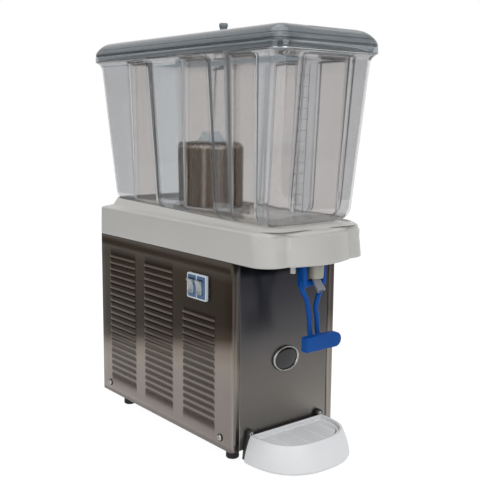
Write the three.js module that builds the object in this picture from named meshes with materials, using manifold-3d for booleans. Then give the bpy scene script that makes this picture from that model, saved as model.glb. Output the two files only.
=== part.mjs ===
// Countertop juice dispenser: a clear tank on a cooled steel cabinet, with a push lever tap.
// Millimetres. The front faces -Y, X runs to the right of the front, and Z goes up from the table.
// Y is measured from the face of the front panel until the group is centred at the end.
import * as THREE from 'three';
import { mergeVertices } from 'three/addons/utils/BufferGeometryUtils.js';
import Module from 'manifold-3d';

const wasm = await Module();
wasm.setup();

// Clearances and sheet
const seat = 0.3;
const slideGap = 0.5;
const sheet = 1.2;

// Cabinet
const cabinetWidth = 200;
const cabinetDepth = 363;
const cabinetHeight = 273;
const footHeight = 23;
const footRadius = 10.5;
const footInsetX = 28;
const footInsetY = 32;
const flangeWidth = 14;
const cabinetCornerRadius = 4;
const panelReturn = 11;
const basePlateLip = 12;
const topFrameLip = 9;

// Louvres pressed into the side panels
const louvreLength = 80;
const louvrePitch = 11;
const louvreRise = 6;
const louvreReach = 3.2;
const louvreTaper = 9;
const louvreBottom = 31;
const louvreTopMargin = 33;
const louvreTopMarginBySwitch = 88;
const louvreFrontMargin = 38.5;
const louvreRearMargin = 31.5;
const louvreColumnCount = 3;

// Screws
const screwHeadRadius = 4.6;
const screwHeadHeight = 2.6;
const screwShankRadius = 2;
const screwShankLength = 9;
const sideScrewInset = 26;
const sideScrewHeight = 16;
const trayScrewX = 68;
const trayScrewHeight = 23;

// Power and cooling switches
const switchPlateStart = 59;
const switchPlateWidth = 45;
const switchPlateDrop = 27;
const switchPlateHeight = 37;
const switchPlateDepth = 6.5;
const rockerWidth = 14;
const rockerHeight = 21;
const rockerPitch = 20;
const rockerBulge = 3;
const rockerTilt = 8;

// Badge
const badgeHalfWidth = 25;
const badgeHalfHeight = 19;
const badgeDrop = 151;
const badgeDepth = 4;

// Basin
const basinSideOverhang = 0;
const basinFront = -68;
const basinBow = 16;
const basinBowHalfWidth = 54;
const basinRearOverhang = 0;
const basinCornerRadius = 30;
const basinRearRadius = 4;
const basinSideHeight = 45;
const basinDraft = 0.8;
const basinWall = 3;
const basinFrontLean = 7;
const basinShoulder = 7;
const deckRise = 5;
const collarFrontRise = 3;
const collarRearRise = 12;
const collarWall = 3;
const collarSpread = 5.5;
const collarGap = 1;

// Tank
const tankSideInset = 21;
const tankFloorFront = -55.5;
const tankRearInset = 12;
const tankSideSpread = 9.8;
const tankFrontSpread = 21.5;
const tankRearSpread = 29.6;
const tankWallHeight = 222;
const tankFlareHeight = 13;
const tankCornerRadius = 17;
const tankFilletRadius = 22;
const tankWall = 3.5;
const rimSideSpread = 9.2;
const rimFrontSpread = 10;
const rimRearSpread = 10.4;
const rimThickness = 8.4;
const rimCornerRadius = 24;
const fluteFeet = [[-19, 29], [71, 142], [220, 281]];
const fluteTops = [[-26, 26], [79, 134], [233, 280]];
const frontPanelHalfWidth = 42;
const frontPanelDepth = 1.8;
const fluteBottomDepth = 2.5;
const fluteTopDepth = 6;

// Lid
const lidGrooveHeight = 4.6;
const lidGrooveDepth = 2.5;
const lidSkirtHeight = 8;
const lidShoulder = 8;
const lidShoulderInset = 10;
const lidPlateauInset = 8;
const lidPlateauRise = 3;
const lidTopThickness = 3;
const lidNotchWidth = 60;
const lidNotchDepth = 4;
const lidKnobRadius = 6.8;
const lidKnobHeight = 20.7;

// Cooling drum and stirrer
const drumRadius = 50.5;
const drumHeight = 109;
const drumWall = 1.5;
const drumEdgeRadius = 6;
const drumCentreY = 179;
const drumFlangeRadius = 62;
const drumSkirt = 12;
const gasketWidth = 7;
const gasketHeight = 8;
const stirrerRadius = 22.5;
const stirrerHeight = 16;
const stirrerVanes = 6;
const magnetRadius = 20;
const magnetHeight = 8;
const driveShaftRadius = 3;
const stirrerMotorRadius = 30;
const stirrerMotorHeight = 42;

// Tap
const tapCentreY = -60;
const tapRadius = 11.6;
const tapBottomRadius = 10.4;
const tapDrop = 22;
const tapBlockDrop = 1;
const tapBlockHeight = 11;
const seatHoleRadius = 5;
const plugRadius = 7;
const stemRadius = 2.4;
const spigotCentreY = -28;
const spigotRadius = 9;
const spigotBore = 6;
const spigotLength = 39;
const socketHeight = 26;
const socketWall = 3.2;
const nozzleRadius = 6.3;
const nozzleBore = 4.4;
const nozzleLength = 27;
const nozzleTilt = 34;
const leverPinY = -46;
const leverPinRise = 23;
const leverPinRadius = 2.2;
const earInner = 9;
const earThickness = 4;
const armInner = 14.5;
const armThickness = 7;
const armFront = -60;
const armRear = -45;
const webDrop = 34;
const webHeight = 9;
const rodRadius = 3.6;
const rodSpacing = 14.4;
const rodCentreY = -54;
const paddleHalfWidth = 33.5;
const paddleHeight = 21;
const paddleFront = -81;
const paddleDepth = 12;
const paddleWall = 3.2;
const paddleDrop = 109;
const springTurns = 5;
const springWire = 0.6;

// Drip tray
const trayBack = -7;
const trayTopHalfWidth = 71;
const trayTopReach = 75;
const trayFootHalfWidth = 82;
const trayFootReach = 90;
const trayTopHeight = 22;
const trayFootClearance = 5;
const trayWall = 3;
const trayRimWidth = 5;
const trayRimRoundness = 3;
const trayFootRoundness = 2.5;
const trayFootRise = 6;
const trayFootInset = 5;
const traySwell = 1.2;
const trayRimRound = 1.5;
const bowlDraft = 9;
const bowlClearance = 3;
const grilleLedge = 4;
const grilleRecess = 4;
const grilleGap = 0.8;
const grilleThickness = 3;
const grilleSlotWidth = 2.6;
const grilleSlotPitch = 5;
const grillePanels = 4;
const grilleSlotsPerPanel = 5;
const bracketThickness = 6;
const bracketDrop = 13;
const bracketHemHeight = 14;
const bracketEarRise = 7;
const bracketEarWidth = 16;
const bracketChamfer = 4;
const bracketClearance = 2;
const bracketScrewSeat = 2.4;

// Machinery on the base plate
const compressorRadius = 54;
const compressorHeight = 130;
const compressorRearGap = 21;
const condenserWidth = 150;
const condenserDepth = 44;
const condenserHeight = 170;
const condenserStart = 40;
const condenserFins = 8;
const fanRadius = 62;
const fanDepth = 16;
const fanBlades = 5;
const fanMotorRadius = 27;
const fanMotorDepth = 45;
const fanCentreHeight = 110;

// Levels that follow from the sizes above, all from the table
const panelBottom = footHeight;
const panelTop = panelBottom + cabinetHeight;
const basinBottom = panelTop + seat;
const basinShoulderLevel = panelTop + basinSideHeight;
const deckTop = basinShoulderLevel + deckRise;
const basinWidth = cabinetWidth + 2 * basinSideOverhang;
const basinRear = cabinetDepth + basinRearOverhang;
const tankFloorHalfWidth = basinWidth / 2 - tankSideInset;
const tankFloorRear = basinRear - tankRearInset;
const tankTopHalfWidth = tankFloorHalfWidth + tankSideSpread;
const tankTopFront = tankFloorFront - tankFrontSpread;
const tankTopRear = tankFloorRear + tankRearSpread;
const rimHalfWidth = tankTopHalfWidth + rimSideSpread;
const rimFront = tankTopFront - rimFrontSpread;
const rimRear = tankTopRear + rimRearSpread;
const tankFloor = deckTop + 2 * seat;
const wallTop = tankFloor + tankWallHeight;
const rimBottom = wallTop + tankFlareHeight;
const rimTop = rimBottom + rimThickness;
const lidBottom = rimTop + seat;
const grooveTop = lidBottom + lidGrooveHeight;
const skirtTop = grooveTop + lidSkirtHeight;
const lidTop = skirtTop + lidShoulder;
const plateauTop = lidTop + lidPlateauRise;
const drumTop = deckTop + drumHeight;
const leverPinLevel = panelTop + leverPinRise;
const tapBottomLevel = panelTop - tapDrop;
const tapBlockLevel = panelTop - tapBlockDrop;
const webLevel = panelTop - webDrop;
const paddleLevel = panelTop - paddleDrop;
const tapTopLevel = tapBlockLevel + tapBlockHeight;
const trayTop = trayTopHeight + footHeight;
const halfCabinet = cabinetWidth / 2;

// Solids

function solid(geometry) {
  const bare = geometry.index ? geometry.toNonIndexed() : geometry.clone();
  bare.deleteAttribute('normal');
  bare.deleteAttribute('uv');
  const merged = mergeVertices(bare, 1e-4);
  const position = merged.attributes.position;
  const index = Uint32Array.from(merged.index.array);
  const a = new THREE.Vector3();
  const b = new THREE.Vector3();
  const c = new THREE.Vector3();
  let volume = 0;
  for (let i = 0; i < index.length; i += 3) {
    a.fromBufferAttribute(position, index[i]);
    b.fromBufferAttribute(position, index[i + 1]);
    c.fromBufferAttribute(position, index[i + 2]);
    volume += a.dot(b.cross(c));
  }
  if (volume < 0) {
    for (let i = 0; i < index.length; i += 3) {
      [index[i], index[i + 1]] = [index[i + 1], index[i]];
    }
  }
  const vertProperties = Float32Array.from(position.array);
  return new wasm.Manifold(new wasm.Mesh({ numProp: 3, vertProperties, triVerts: index }));
}

function geometryOf(manifold) {
  const result = manifold.getMesh();
  const geometry = new THREE.BufferGeometry();
  geometry.setAttribute('position', new THREE.BufferAttribute(result.vertProperties, 3));
  geometry.setIndex(new THREE.BufferAttribute(result.triVerts, 1));
  geometry.computeVertexNormals();
  return geometry;
}

function joined(solids) {
  return solids.reduce((whole, piece) => whole.add(piece));
}

function cut(body, tools) {
  return tools.reduce((left, tool) => left.subtract(tool), body);
}

// A block between two limits on each axis
function block(x, y, z) {
  const geometry = new THREE.BoxGeometry(x[1] - x[0], y[1] - y[0], z[1] - z[0]);
  return solid(geometry.translate((x[0] + x[1]) / 2, (y[0] + y[1]) / 2, (z[0] + z[1]) / 2));
}

function shapeOf(points) {
  return new THREE.Shape(points.map(([x, y]) => new THREE.Vector2(x, y)));
}

function extruded(shape, depth) {
  return new THREE.ExtrudeGeometry(shape, { depth, bevelEnabled: false, curveSegments: 4 });
}

// An outline in X and Y, raised from one level to another
function raised(shape, bottom, top) {
  return solid(extruded(shape, top - bottom).translate(0, 0, bottom));
}

// An outline in Y and Z, drawn along X
function drawnAlongX(shape, from, to) {
  const axes = new THREE.Matrix4().makeBasis(
    new THREE.Vector3(0, 1, 0), new THREE.Vector3(0, 0, 1), new THREE.Vector3(1, 0, 0));
  return solid(extruded(shape, to - from).applyMatrix4(axes).translate(from, 0, 0));
}

// An outline in X and Z, drawn along Y
function drawnAlongY(shape, from, to) {
  const axes = new THREE.Matrix4().makeBasis(
    new THREE.Vector3(1, 0, 0), new THREE.Vector3(0, 0, 1), new THREE.Vector3(0, -1, 0));
  return solid(extruded(shape, to - from).applyMatrix4(axes).translate(0, to, 0));
}

// A profile of radius and height turned about Z
function turnedGeometry(profile, sides) {
  const points = profile.map(([r, z]) => new THREE.Vector2(r, z));
  return new THREE.LatheGeometry(points, sides).rotateX(Math.PI / 2);
}

function turned(profile, sides = 20) {
  return solid(turnedGeometry(profile, sides));
}

function cylinder(radius, bottom, top, x, y, sides = 16) {
  const profile = [[0, bottom], [radius, bottom], [radius, top], [0, top]];
  return turned(profile, sides).translate([x, y, 0]);
}

// A cylinder along X or Y
function bar(radius, from, to, axis, centre, sides = 12) {
  const profile = [[0, from], [radius, from], [radius, to], [0, to]];
  const geometry = turnedGeometry(profile, sides);
  if (axis === 'x') geometry.rotateY(Math.PI / 2);
  if (axis === 'y') geometry.rotateX(-Math.PI / 2);
  return solid(geometry.translate(...centre));
}

// A round rod along a smooth curve through points
function rod(points, radius, sides, steps) {
  const section = new THREE.Shape();
  for (let i = 0; i < sides; i += 1) {
    const angle = (2 * Math.PI * i) / sides;
    const method = i === 0 ? 'moveTo' : 'lineTo';
    section[method](radius * Math.cos(angle), radius * Math.sin(angle));
  }
  section.closePath();
  const extrudePath = new THREE.CatmullRomCurve3(points.map((p) => new THREE.Vector3(...p)));
  return solid(new THREE.ExtrudeGeometry(section, { steps, extrudePath, bevelEnabled: false }));
}

// A closed skin through rings of equal count, each counterclockwise from above, from the bottom up
function loft(rings) {
  const count = rings[0].length;
  const positions = rings.flat().flatMap((p) => [p.x, p.y, p.z]);
  const index = [];
  for (let r = 0; r < rings.length - 1; r += 1) {
    for (let i = 0; i < count; i += 1) {
      const a = r * count + i;
      const b = r * count + ((i + 1) % count);
      index.push(a, b, b + count, a, b + count, a + count);
    }
  }
  const addCap = (ring, offset, facingDown) => {
    const flat = ring.map((p) => new THREE.Vector2(p.x, p.y));
    THREE.ShapeUtils.triangulateShape(flat, []).forEach(([a, b, c]) => {
      if (facingDown) index.push(offset + a, offset + c, offset + b);
      else index.push(offset + a, offset + b, offset + c);
    });
  };
  addCap(rings[0], 0, true);
  addCap(rings[rings.length - 1], (rings.length - 1) * count, false);
  const geometry = new THREE.BufferGeometry();
  geometry.setAttribute('position', new THREE.Float32BufferAttribute(positions, 3));
  geometry.setIndex(index);
  return solid(geometry);
}

// A rectangle with round corners, counterclockwise from the rear right corner
function roundedRing(halfWidth, front, rear, frontRadius, rearRadius, level, steps = 4) {
  const corners = [
    [halfWidth - rearRadius, rear - rearRadius, rearRadius, 0],
    [rearRadius - halfWidth, rear - rearRadius, rearRadius, 1],
    [frontRadius - halfWidth, front + frontRadius, frontRadius, 2],
    [halfWidth - frontRadius, front + frontRadius, frontRadius, 3],
  ];
  return corners.flatMap(([x, y, radius, quarter]) =>
    Array.from({ length: steps + 1 }, (_, i) => {
      const angle = (Math.PI / 2) * (quarter + i / steps);
      const z = typeof level === 'function' ? level(y) : level;
      return new THREE.Vector3(x + radius * Math.cos(angle), y + radius * Math.sin(angle), z);
    }));
}

const mix = (from, to, share) => from + (to - from) * share;

// Materials

function material(color, metalness, roughness, opacity = 1) {
  return new THREE.MeshStandardMaterial({
    color, metalness, roughness, opacity, transparent: opacity < 1,
  });
}

const brushedSteel = material(0x9a948c, 1, 0.35);
const plainSteel = material(0x8f9193, 1, 0.5);
const chrome = material(0xc8cacc, 1, 0.12);
const whitePlastic = material(0xd9d9d4, 0, 0.4);
const trayPlastic = material(0xdcdde0, 0, 0.4);
const bluePlastic = material(0x1a5096, 0, 0.35);
const switchBlue = material(0x3f5570, 0, 0.4);
const paleRocker = material(0xc4d0d6, 0, 0.3);
const clearTank = material(0xe8ecee, 0, 0.08, 0.3);
const smokeLid = material(0x70767a, 0, 0.25, 0.75);
const greyPlastic = material(0x8a9094, 0, 0.4);
const blackRubber = material(0x0c0c0c, 0, 0.8);
const blackPlastic = material(0x1a1a1b, 0, 0.5);
const blackPaint = material(0x18191b, 0.3, 0.5);
const softSeal = material(0xcfd2d0, 0, 0.6);
const stirrerPlastic = material(0xbccad2, 0, 0.35);

const dispenser = new THREE.Group();

function add(name, body, finish) {
  const mesh = new THREE.Mesh(geometryOf(body), finish);
  mesh.name = name;
  dispenser.add(mesh);
}

// Cabinet

// One pressed hood, open below: the sheet leans out to a lower edge and both ends taper in
function hood(side, start, bottom, { reach, rise, shorter, inward, drop }) {
  const x = (out) => side * (halfCabinet + out);
  const from = start + shorter;
  const to = start + louvreLength - shorter;
  const low = bottom - drop;
  const corners = [
    [x(-inward), from, low], [x(-inward), to, low], [x(-inward), to, bottom + rise],
    [x(-inward), from, bottom + rise], [x(reach), from + louvreTaper, low],
    [x(reach), to - louvreTaper, low],
  ];
  const faces = [0, 3, 2, 0, 2, 1, 0, 1, 5, 0, 5, 4, 3, 4, 5, 3, 5, 2, 0, 4, 3, 1, 2, 5];
  const geometry = new THREE.BufferGeometry();
  geometry.setAttribute('position', new THREE.Float32BufferAttribute(corners.flat(), 3));
  geometry.setIndex(faces);
  return solid(geometry);
}

const hoodOutside = { reach: louvreReach, rise: louvreRise, shorter: 0, inward: sheet / 2, drop: 0 };
const hoodInside = {
  reach: louvreReach - 1.1, rise: louvreRise - 1.2, shorter: 2.5, inward: sheet + 1, drop: 0,
};

const louvreColumnPitch = (cabinetDepth - louvreFrontMargin - louvreRearMargin - louvreLength)
  / (louvreColumnCount - 1);

function sidePanel(side) {
  const outer = halfCabinet;
  const r = cabinetCornerRadius;
  const lip = outer - flangeWidth;
  const outline = new THREE.Shape();
  outline.moveTo(lip, 0);
  outline.lineTo(outer - r, 0);
  outline.absarc(outer - r, r, r, -Math.PI / 2, 0, false);
  outline.lineTo(outer, cabinetDepth - r);
  outline.absarc(outer - r, cabinetDepth - r, r, 0, Math.PI / 2, false);
  outline.lineTo(lip, cabinetDepth);
  outline.lineTo(lip, cabinetDepth - sheet);
  outline.lineTo(outer - r, cabinetDepth - sheet);
  outline.absarc(outer - r, cabinetDepth - r, r - sheet, Math.PI / 2, 0, true);
  outline.lineTo(outer - sheet, r);
  outline.absarc(outer - r, r, r - sheet, 0, -Math.PI / 2, true);
  outline.lineTo(lip, sheet);
  const right = extruded(outline, cabinetHeight).translate(0, 0, panelBottom);
  const panel = solid(side > 0 ? right : right.scale(-1, 1, 1));
  const hoods = [];
  const slots = [];
  for (let column = 0; column < louvreColumnCount; column += 1) {
    const start = louvreFrontMargin + column * louvreColumnPitch;
    const margin = column === 0 ? louvreTopMarginBySwitch : louvreTopMargin;
    const count = 1 + Math.floor((cabinetHeight - margin - louvreBottom) / louvrePitch);
    for (let i = 0; i < count; i += 1) {
      const bottom = panelBottom + louvreBottom - louvreRise / 2 + i * louvrePitch;
      hoods.push(hood(side, start, bottom, hoodOutside));
      slots.push(hood(side, start, bottom, hoodInside));
    }
  }
  const holes = sideScrewPlaces().map(([y, z]) =>
    bar(screwShankRadius + seat, outer - 3, outer + 3, 'x', [side > 0 ? 0 : -2 * outer, y, z], 8));
  if (side < 0) holes.push(switchHole());
  return cut(joined([panel, ...hoods]), [...slots, ...holes]);
}

function sideScrewPlaces() {
  const z = panelBottom + sideScrewHeight;
  return [[sideScrewInset, z], [cabinetDepth - sideScrewInset, z]];
}

const switchMiddleY = switchPlateStart + switchPlateWidth / 2;
const switchMiddleZ = panelTop - switchPlateDrop - switchPlateHeight / 2;
const switchBoxHalfWidth = rockerPitch / 2 + rockerWidth / 2 + 1;
const switchBoxHalfHeight = rockerHeight / 2 + 1.5;

function switchHole() {
  const y = switchBoxHalfWidth + seat;
  const z = switchBoxHalfHeight + seat;
  return block([-halfCabinet - 3, -halfCabinet + 3], [switchMiddleY - y, switchMiddleY + y],
    [switchMiddleZ - z, switchMiddleZ + z]);
}

add('left_side_panel', sidePanel(-1), brushedSteel);
add('right_side_panel', sidePanel(1), brushedSteel);

// A sheet whose long edges turn inwards, at the front or the rear of the cabinet
function endPanel(face, inward, halfWidth) {
  const turn = face + inward * panelReturn;
  const skin = face + inward * sheet;
  const outline = shapeOf([
    [-halfWidth, face], [halfWidth, face], [halfWidth, turn], [halfWidth - sheet, turn],
    [halfWidth - sheet, skin], [sheet - halfWidth, skin], [sheet - halfWidth, turn],
    [-halfWidth, turn],
  ]);
  return raised(outline, panelBottom, panelTop);
}

const endPanelHalfWidth = halfCabinet - flangeWidth - slideGap;
const trayScrewPlaces = [-trayScrewX, trayScrewX];
const trayScrewLevel = panelBottom + trayScrewHeight;
const trayScrewHoles = trayScrewPlaces.map((x) =>
  bar(screwShankRadius + seat, -3, 3, 'y', [x, 0, trayScrewLevel], 8));
add('front_panel', cut(endPanel(0, 1, endPanelHalfWidth), trayScrewHoles), brushedSteel);

add('rear_panel', endPanel(cabinetDepth, -1, endPanelHalfWidth), brushedSteel);

// Base plate: a shallow tray with lips up, inside the four panels
const innerHalf = halfCabinet - sheet - seat;
const innerFront = sheet + seat;
const innerRear = cabinetDepth - sheet - seat;
const footPlaces = [-1, 1].flatMap((side) => [
  [side * (halfCabinet - footInsetX), footInsetY],
  [side * (halfCabinet - footInsetX), cabinetDepth - footInsetY - footRadius],
]);
const cornerCut = cabinetCornerRadius;

function liningOutline(inset) {
  const x = innerHalf - inset;
  const front = innerFront + panelReturn + inset;
  const rear = innerRear - panelReturn - inset;
  return shapeOf([[-x, front], [x, front], [x, rear], [-x, rear]]);
}

function basePlate() {
  const floor = raised(liningOutline(0), panelBottom, panelBottom + basePlateLip);
  const hollow = raised(liningOutline(sheet), panelBottom + sheet, panelBottom + basePlateLip + 1);
  const tongueX = endPanelHalfWidth - sheet - slideGap;
  const tongue = block([-tongueX, tongueX], [innerFront, innerRear], [panelBottom, panelBottom + sheet]);
  const holes = footPlaces.map(([x, y]) => cylinder(4 + seat, panelBottom - 2, panelBottom + 3, x, y, 8));
  const screwHoles = [-1, 1].flatMap((side) => sideScrewPlaces().map(([y, z]) =>
    bar(screwShankRadius + seat, side * halfCabinet - 4, side * halfCabinet + 4, 'x', [0, y, z], 8)));
  return cut(joined([floor.subtract(hollow), tongue]), [...holes, ...screwHoles]);
}

add('base_plate', basePlate(), plainSteel);

// Top frame: carries the basin, the drum and the stirrer motor
const frameTop = panelTop - cornerCut;

function topFrame() {
  const skin = raised(liningOutline(0), frameTop - topFrameLip, frameTop);
  const hollow = raised(liningOutline(sheet), frameTop - topFrameLip - 1, frameTop - sheet);
  const opening = cylinder(stirrerMotorRadius + 1.5, frameTop - 5, frameTop + 5, 0, drumCentreY, 20);
  return cut(skin, [hollow, opening]);
}

add('top_frame', topFrame(), plainSteel);

// Rubber feet with a stem through the base plate
function foot() {
  return turned([
    [0, 0], [footRadius - 1.5, 0], [footRadius, 1.5], [footRadius - 1, footHeight - seat - 2],
    [footRadius - 2.5, footHeight - seat], [4, footHeight - seat], [4, footHeight + sheet + 3],
    [0, footHeight + sheet + 3],
  ], 10);
}

const footNames = ['foot_front_left', 'foot_rear_left', 'foot_front_right', 'foot_rear_right'];
footPlaces.forEach(([x, y], i) => add(footNames[i], foot().translate([x, y, 0]), blackRubber));

// Screws: a domed head outside and a plain shank inside
function screwProfile() {
  return [
    [0, -screwShankLength], [screwShankRadius, -screwShankLength], [screwShankRadius, 0],
    [screwHeadRadius, 0], [screwHeadRadius, screwHeadHeight * 0.4],
    [screwHeadRadius * 0.7, screwHeadHeight * 0.9], [0, screwHeadHeight],
  ];
}

function sideScrew(side, y, z) {
  const geometry = turnedGeometry(screwProfile(), 8).rotateY(side * Math.PI / 2);
  return solid(geometry.translate(side * (halfCabinet + seat), y, z));
}

[[-1, 'left'], [1, 'right']].forEach(([side, word]) => {
  sideScrewPlaces().forEach(([y, z], i) => {
    const place = i === 0 ? 'front' : 'rear';
    add(`panel_screw_${word}_${place}`, sideScrew(side, y, z), chrome);
  });
});

// Switch block on the left panel
const plateFace = -halfCabinet - seat;
const rockerPivotX = plateFace - switchPlateDepth + 1.5;
const rockerPlaces = [switchMiddleY - rockerPitch / 2, switchMiddleY + rockerPitch / 2];

function switchFrame() {
  const plate = block([plateFace - switchPlateDepth, plateFace],
    [switchPlateStart, switchPlateStart + switchPlateWidth],
    [switchMiddleZ - switchPlateHeight / 2, switchMiddleZ + switchPlateHeight / 2]);
  const y = switchBoxHalfWidth + seat;
  const z = switchBoxHalfHeight + seat;
  return plate.subtract(block([plateFace - switchPlateDepth - 1, plateFace + 1],
    [switchMiddleY - y, switchMiddleY + y], [switchMiddleZ - z, switchMiddleZ + z]));
}

// The switch body: a box through the panel, with a well for each rocker
function switchBody() {
  const front = plateFace - switchPlateDepth + 0.6;
  const box = block([front, -halfCabinet + 24],
    [switchMiddleY - switchBoxHalfWidth, switchMiddleY + switchBoxHalfWidth],
    [switchMiddleZ - switchBoxHalfHeight, switchMiddleZ + switchBoxHalfHeight]);
  const wells = rockerPlaces.map((y) => block([front - 1, rockerPivotX + 7],
    [y - rockerWidth / 2 - seat, y + rockerWidth / 2 + seat],
    [switchMiddleZ - rockerHeight / 2 - seat, switchMiddleZ + rockerHeight / 2 + seat]));
  return cut(box, wells);
}

add('switch_frame', switchFrame(), whitePlastic);
add('switch_body', switchBody(), switchBlue);

// A rocker: dished front, round back about its pivot
function rocker(y) {
  const half = rockerHeight / 2 - seat;
  const shape = new THREE.Shape();
  shape.moveTo(rockerPivotX - rockerBulge, half);
  shape.quadraticCurveTo(rockerPivotX - 0.4, 0, rockerPivotX - rockerBulge, -half);
  shape.lineTo(rockerPivotX + 0.5, -half);
  shape.lineTo(rockerPivotX + 5, -half * 0.4);
  shape.lineTo(rockerPivotX + 5, half * 0.4);
  shape.lineTo(rockerPivotX + 0.5, half);
  const body = drawnAlongY(shape, y - rockerWidth / 2, y + rockerWidth / 2);
  const tilted = body.translate([-rockerPivotX, 0, 0]).rotate([0, rockerTilt, 0]);
  return tilted.translate([rockerPivotX, 0, switchMiddleZ]);
}

rockerPlaces.forEach((y, i) => add(`rocker_${i === 0 ? 'power' : 'cooling'}`, rocker(y), paleRocker));

// Oval badge, left bare
function badge() {
  const dome = turnedGeometry([
    [0, 0], [1, 0], [1, 0.45 * badgeDepth], [0.95, 0.85 * badgeDepth], [0.88, badgeDepth],
    [0.8, 0.7 * badgeDepth], [0, 0.85 * badgeDepth],
  ], 20);
  dome.scale(badgeHalfWidth, badgeHalfHeight, 1).rotateX(Math.PI / 2);
  return solid(dome.translate(0, -seat, panelTop - badgeDrop));
}

add('badge', badge(), chrome);

// Basin

// The basin's outline: round front corners and a bow over the tap
function basinRing(level, inset, lean) {
  const half = basinWidth / 2 - inset;
  const front = basinFront + inset + lean;
  const ring = [];
  const arc = (cx, cy, radius, from, to, steps) => {
    for (let i = 0; i <= steps; i += 1) {
      const angle = THREE.MathUtils.degToRad(mix(from, to, i / steps));
      ring.push([cx + radius * Math.cos(angle), cy + radius * Math.sin(angle)]);
    }
  };
  const rearRadius = Math.max(basinRearRadius - inset, 2);
  const frontRadius = Math.max(basinCornerRadius - inset, 4);
  const rear = basinRear - inset;
  arc(half - rearRadius, rear - rearRadius, rearRadius, 0, 90, 2);
  arc(rearRadius - half, rear - rearRadius, rearRadius, 90, 180, 2);
  arc(frontRadius - half, front + frontRadius, frontRadius, 180, 270, 6);
  const bowHalf = basinBowHalfWidth - inset * 0.3;
  const bowSteps = 8;
  for (let i = 0; i <= bowSteps; i += 1) {
    const share = mix(-1, 1, i / bowSteps);
    ring.push([share * bowHalf, front - basinBow * Math.cos((share * Math.PI) / 2.35)]);
  }
  arc(half - frontRadius, front + frontRadius, frontRadius, 270, 360, 6);
  return ring.map(([x, y]) =>
    new THREE.Vector3(x, y, typeof level === 'function' ? level(y) : level));
}

// The collar's top climbs from the front to the rear
const collarLevel = (y) => deckTop + mix(collarFrontRise, collarRearRise,
  (y - basinFront) / (basinRear - basinFront));

// Round rectangles about the foot of the tank
function collarRing(level, out) {
  const radius = tankCornerRadius + out;
  return roundedRing(tankFloorHalfWidth - 2 + out, tankFloorFront - 1 - out, tankFloorRear - 1 + out,
    radius, radius, level);
}

function basin() {
  const lean = basinFrontLean;
  const outer = loft([
    basinRing(basinBottom, 0, 0),
    basinRing(basinShoulderLevel - basinShoulder, basinDraft, lean * 0.85),
    basinRing(basinShoulderLevel - basinShoulder * 0.3, basinShoulder * 0.3 + basinDraft, lean),
    basinRing(basinShoulderLevel, basinShoulder, lean),
    basinRing(basinShoulderLevel + 0.6, basinShoulder + 5, lean),
  ]);
  const collarOut = collarGap + collarWall;
  const collar = loft([
    collarRing(basinShoulderLevel - 3, collarOut + collarSpread),
    collarRing(basinShoulderLevel + 2, collarOut + collarSpread),
    collarRing(collarLevel, collarOut),
  ]);
  const under = loft([
    basinRing(basinBottom - 1, basinWall, 0),
    basinRing(basinShoulderLevel - basinShoulder, basinWall + basinDraft, lean * 0.85),
    basinRing(basinShoulderLevel - basinWall, basinWall + basinShoulder, lean),
  ]);
  const underDeck = loft([
    collarRing(basinShoulderLevel - 2 * basinWall, collarGap), collarRing(deckTop - basinWall, collarGap),
  ]);
  const deck = loft([collarRing(deckTop, collarGap), collarRing(deckTop + 30, collarGap)]);
  const drumHole = cylinder(drumRadius + seat, deckTop - 10, deckTop + 5, 0, drumCentreY, 24);
  const spigotHole = cylinder(spigotRadius + 3, deckTop - 10, deckTop + 5, 0, spigotCentreY);
  const spoutHole = cylinder(drainRadius + seat, deckTop - 10, deckTop + 5, drainX, drainY, 16);
  const body = cut(outer.add(collar), [under, underDeck, deck]).add(frameLedge());
  return cut(body, [drumHole, spigotHole, spoutHole]);
}

// Four pads under the deck that stand on the top frame
function frameLedge() {
  const pads = [-1, 1].flatMap((side) => [0.12, 0.88].map((share) => {
    const y = mix(innerFront, innerRear, share);
    const x = side * (innerHalf - 22);
    return block([x - 6, x + 6], [y - 14, y + 14], [frameTop + seat, deckTop - basinWall / 2]);
  }));
  return joined(pads);
}

// Drain spout: takes the water that sweats off the tank down towards the tray
const drainX = -30;
const drainY = -46;
const drainRadius = 4;
const drainDrop = 14;
add('basin', basin(), whitePlastic);

const drainTop = deckTop;
const drainSpout = turned([
  [2.4, panelTop - drainDrop], [drainRadius, panelTop - drainDrop],
  [drainRadius, drainTop - basinWall - 2 * seat], [drainRadius + 3, drainTop - basinWall - 2 * seat],
  [drainRadius + 3, drainTop - basinWall - seat], [drainRadius, drainTop - basinWall - seat],
  [drainRadius, drainTop], [2.4, drainTop], [2.4, panelTop - drainDrop],
], 12).translate([drainX, drainY, 0]);
add('drain_spout', drainSpout, softSeal);

// Cooling drum

function drum() {
  const r = drumRadius;
  const flangeTop = deckTop - basinWall - seat;
  const bottom = flangeTop - drumSkirt;
  const edge = (radius) => [0, 1, 2, 3].map((i) => {
    const angle = (Math.PI / 2) * (i / 3);
    return [r - radius + radius * Math.cos(angle), drumTop - radius + radius * Math.sin(angle)];
  });
  const innerRadius = drumEdgeRadius - drumWall;
  return turned([
    [r - drumWall, bottom], [r, bottom], [r, flangeTop - 1.5], [drumFlangeRadius, flangeTop - 1.5],
    [drumFlangeRadius, flangeTop], [r, flangeTop], ...edge(drumEdgeRadius), [0, drumTop],
    [0, drumTop - drumWall], [r - drumWall - innerRadius, drumTop - drumWall],
    [r - drumWall, drumTop - drumWall - innerRadius], [r - drumWall, bottom],
  ], 24).translate([0, drumCentreY, 0]);
}

add('evaporator_drum', drum(), brushedSteel);

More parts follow.
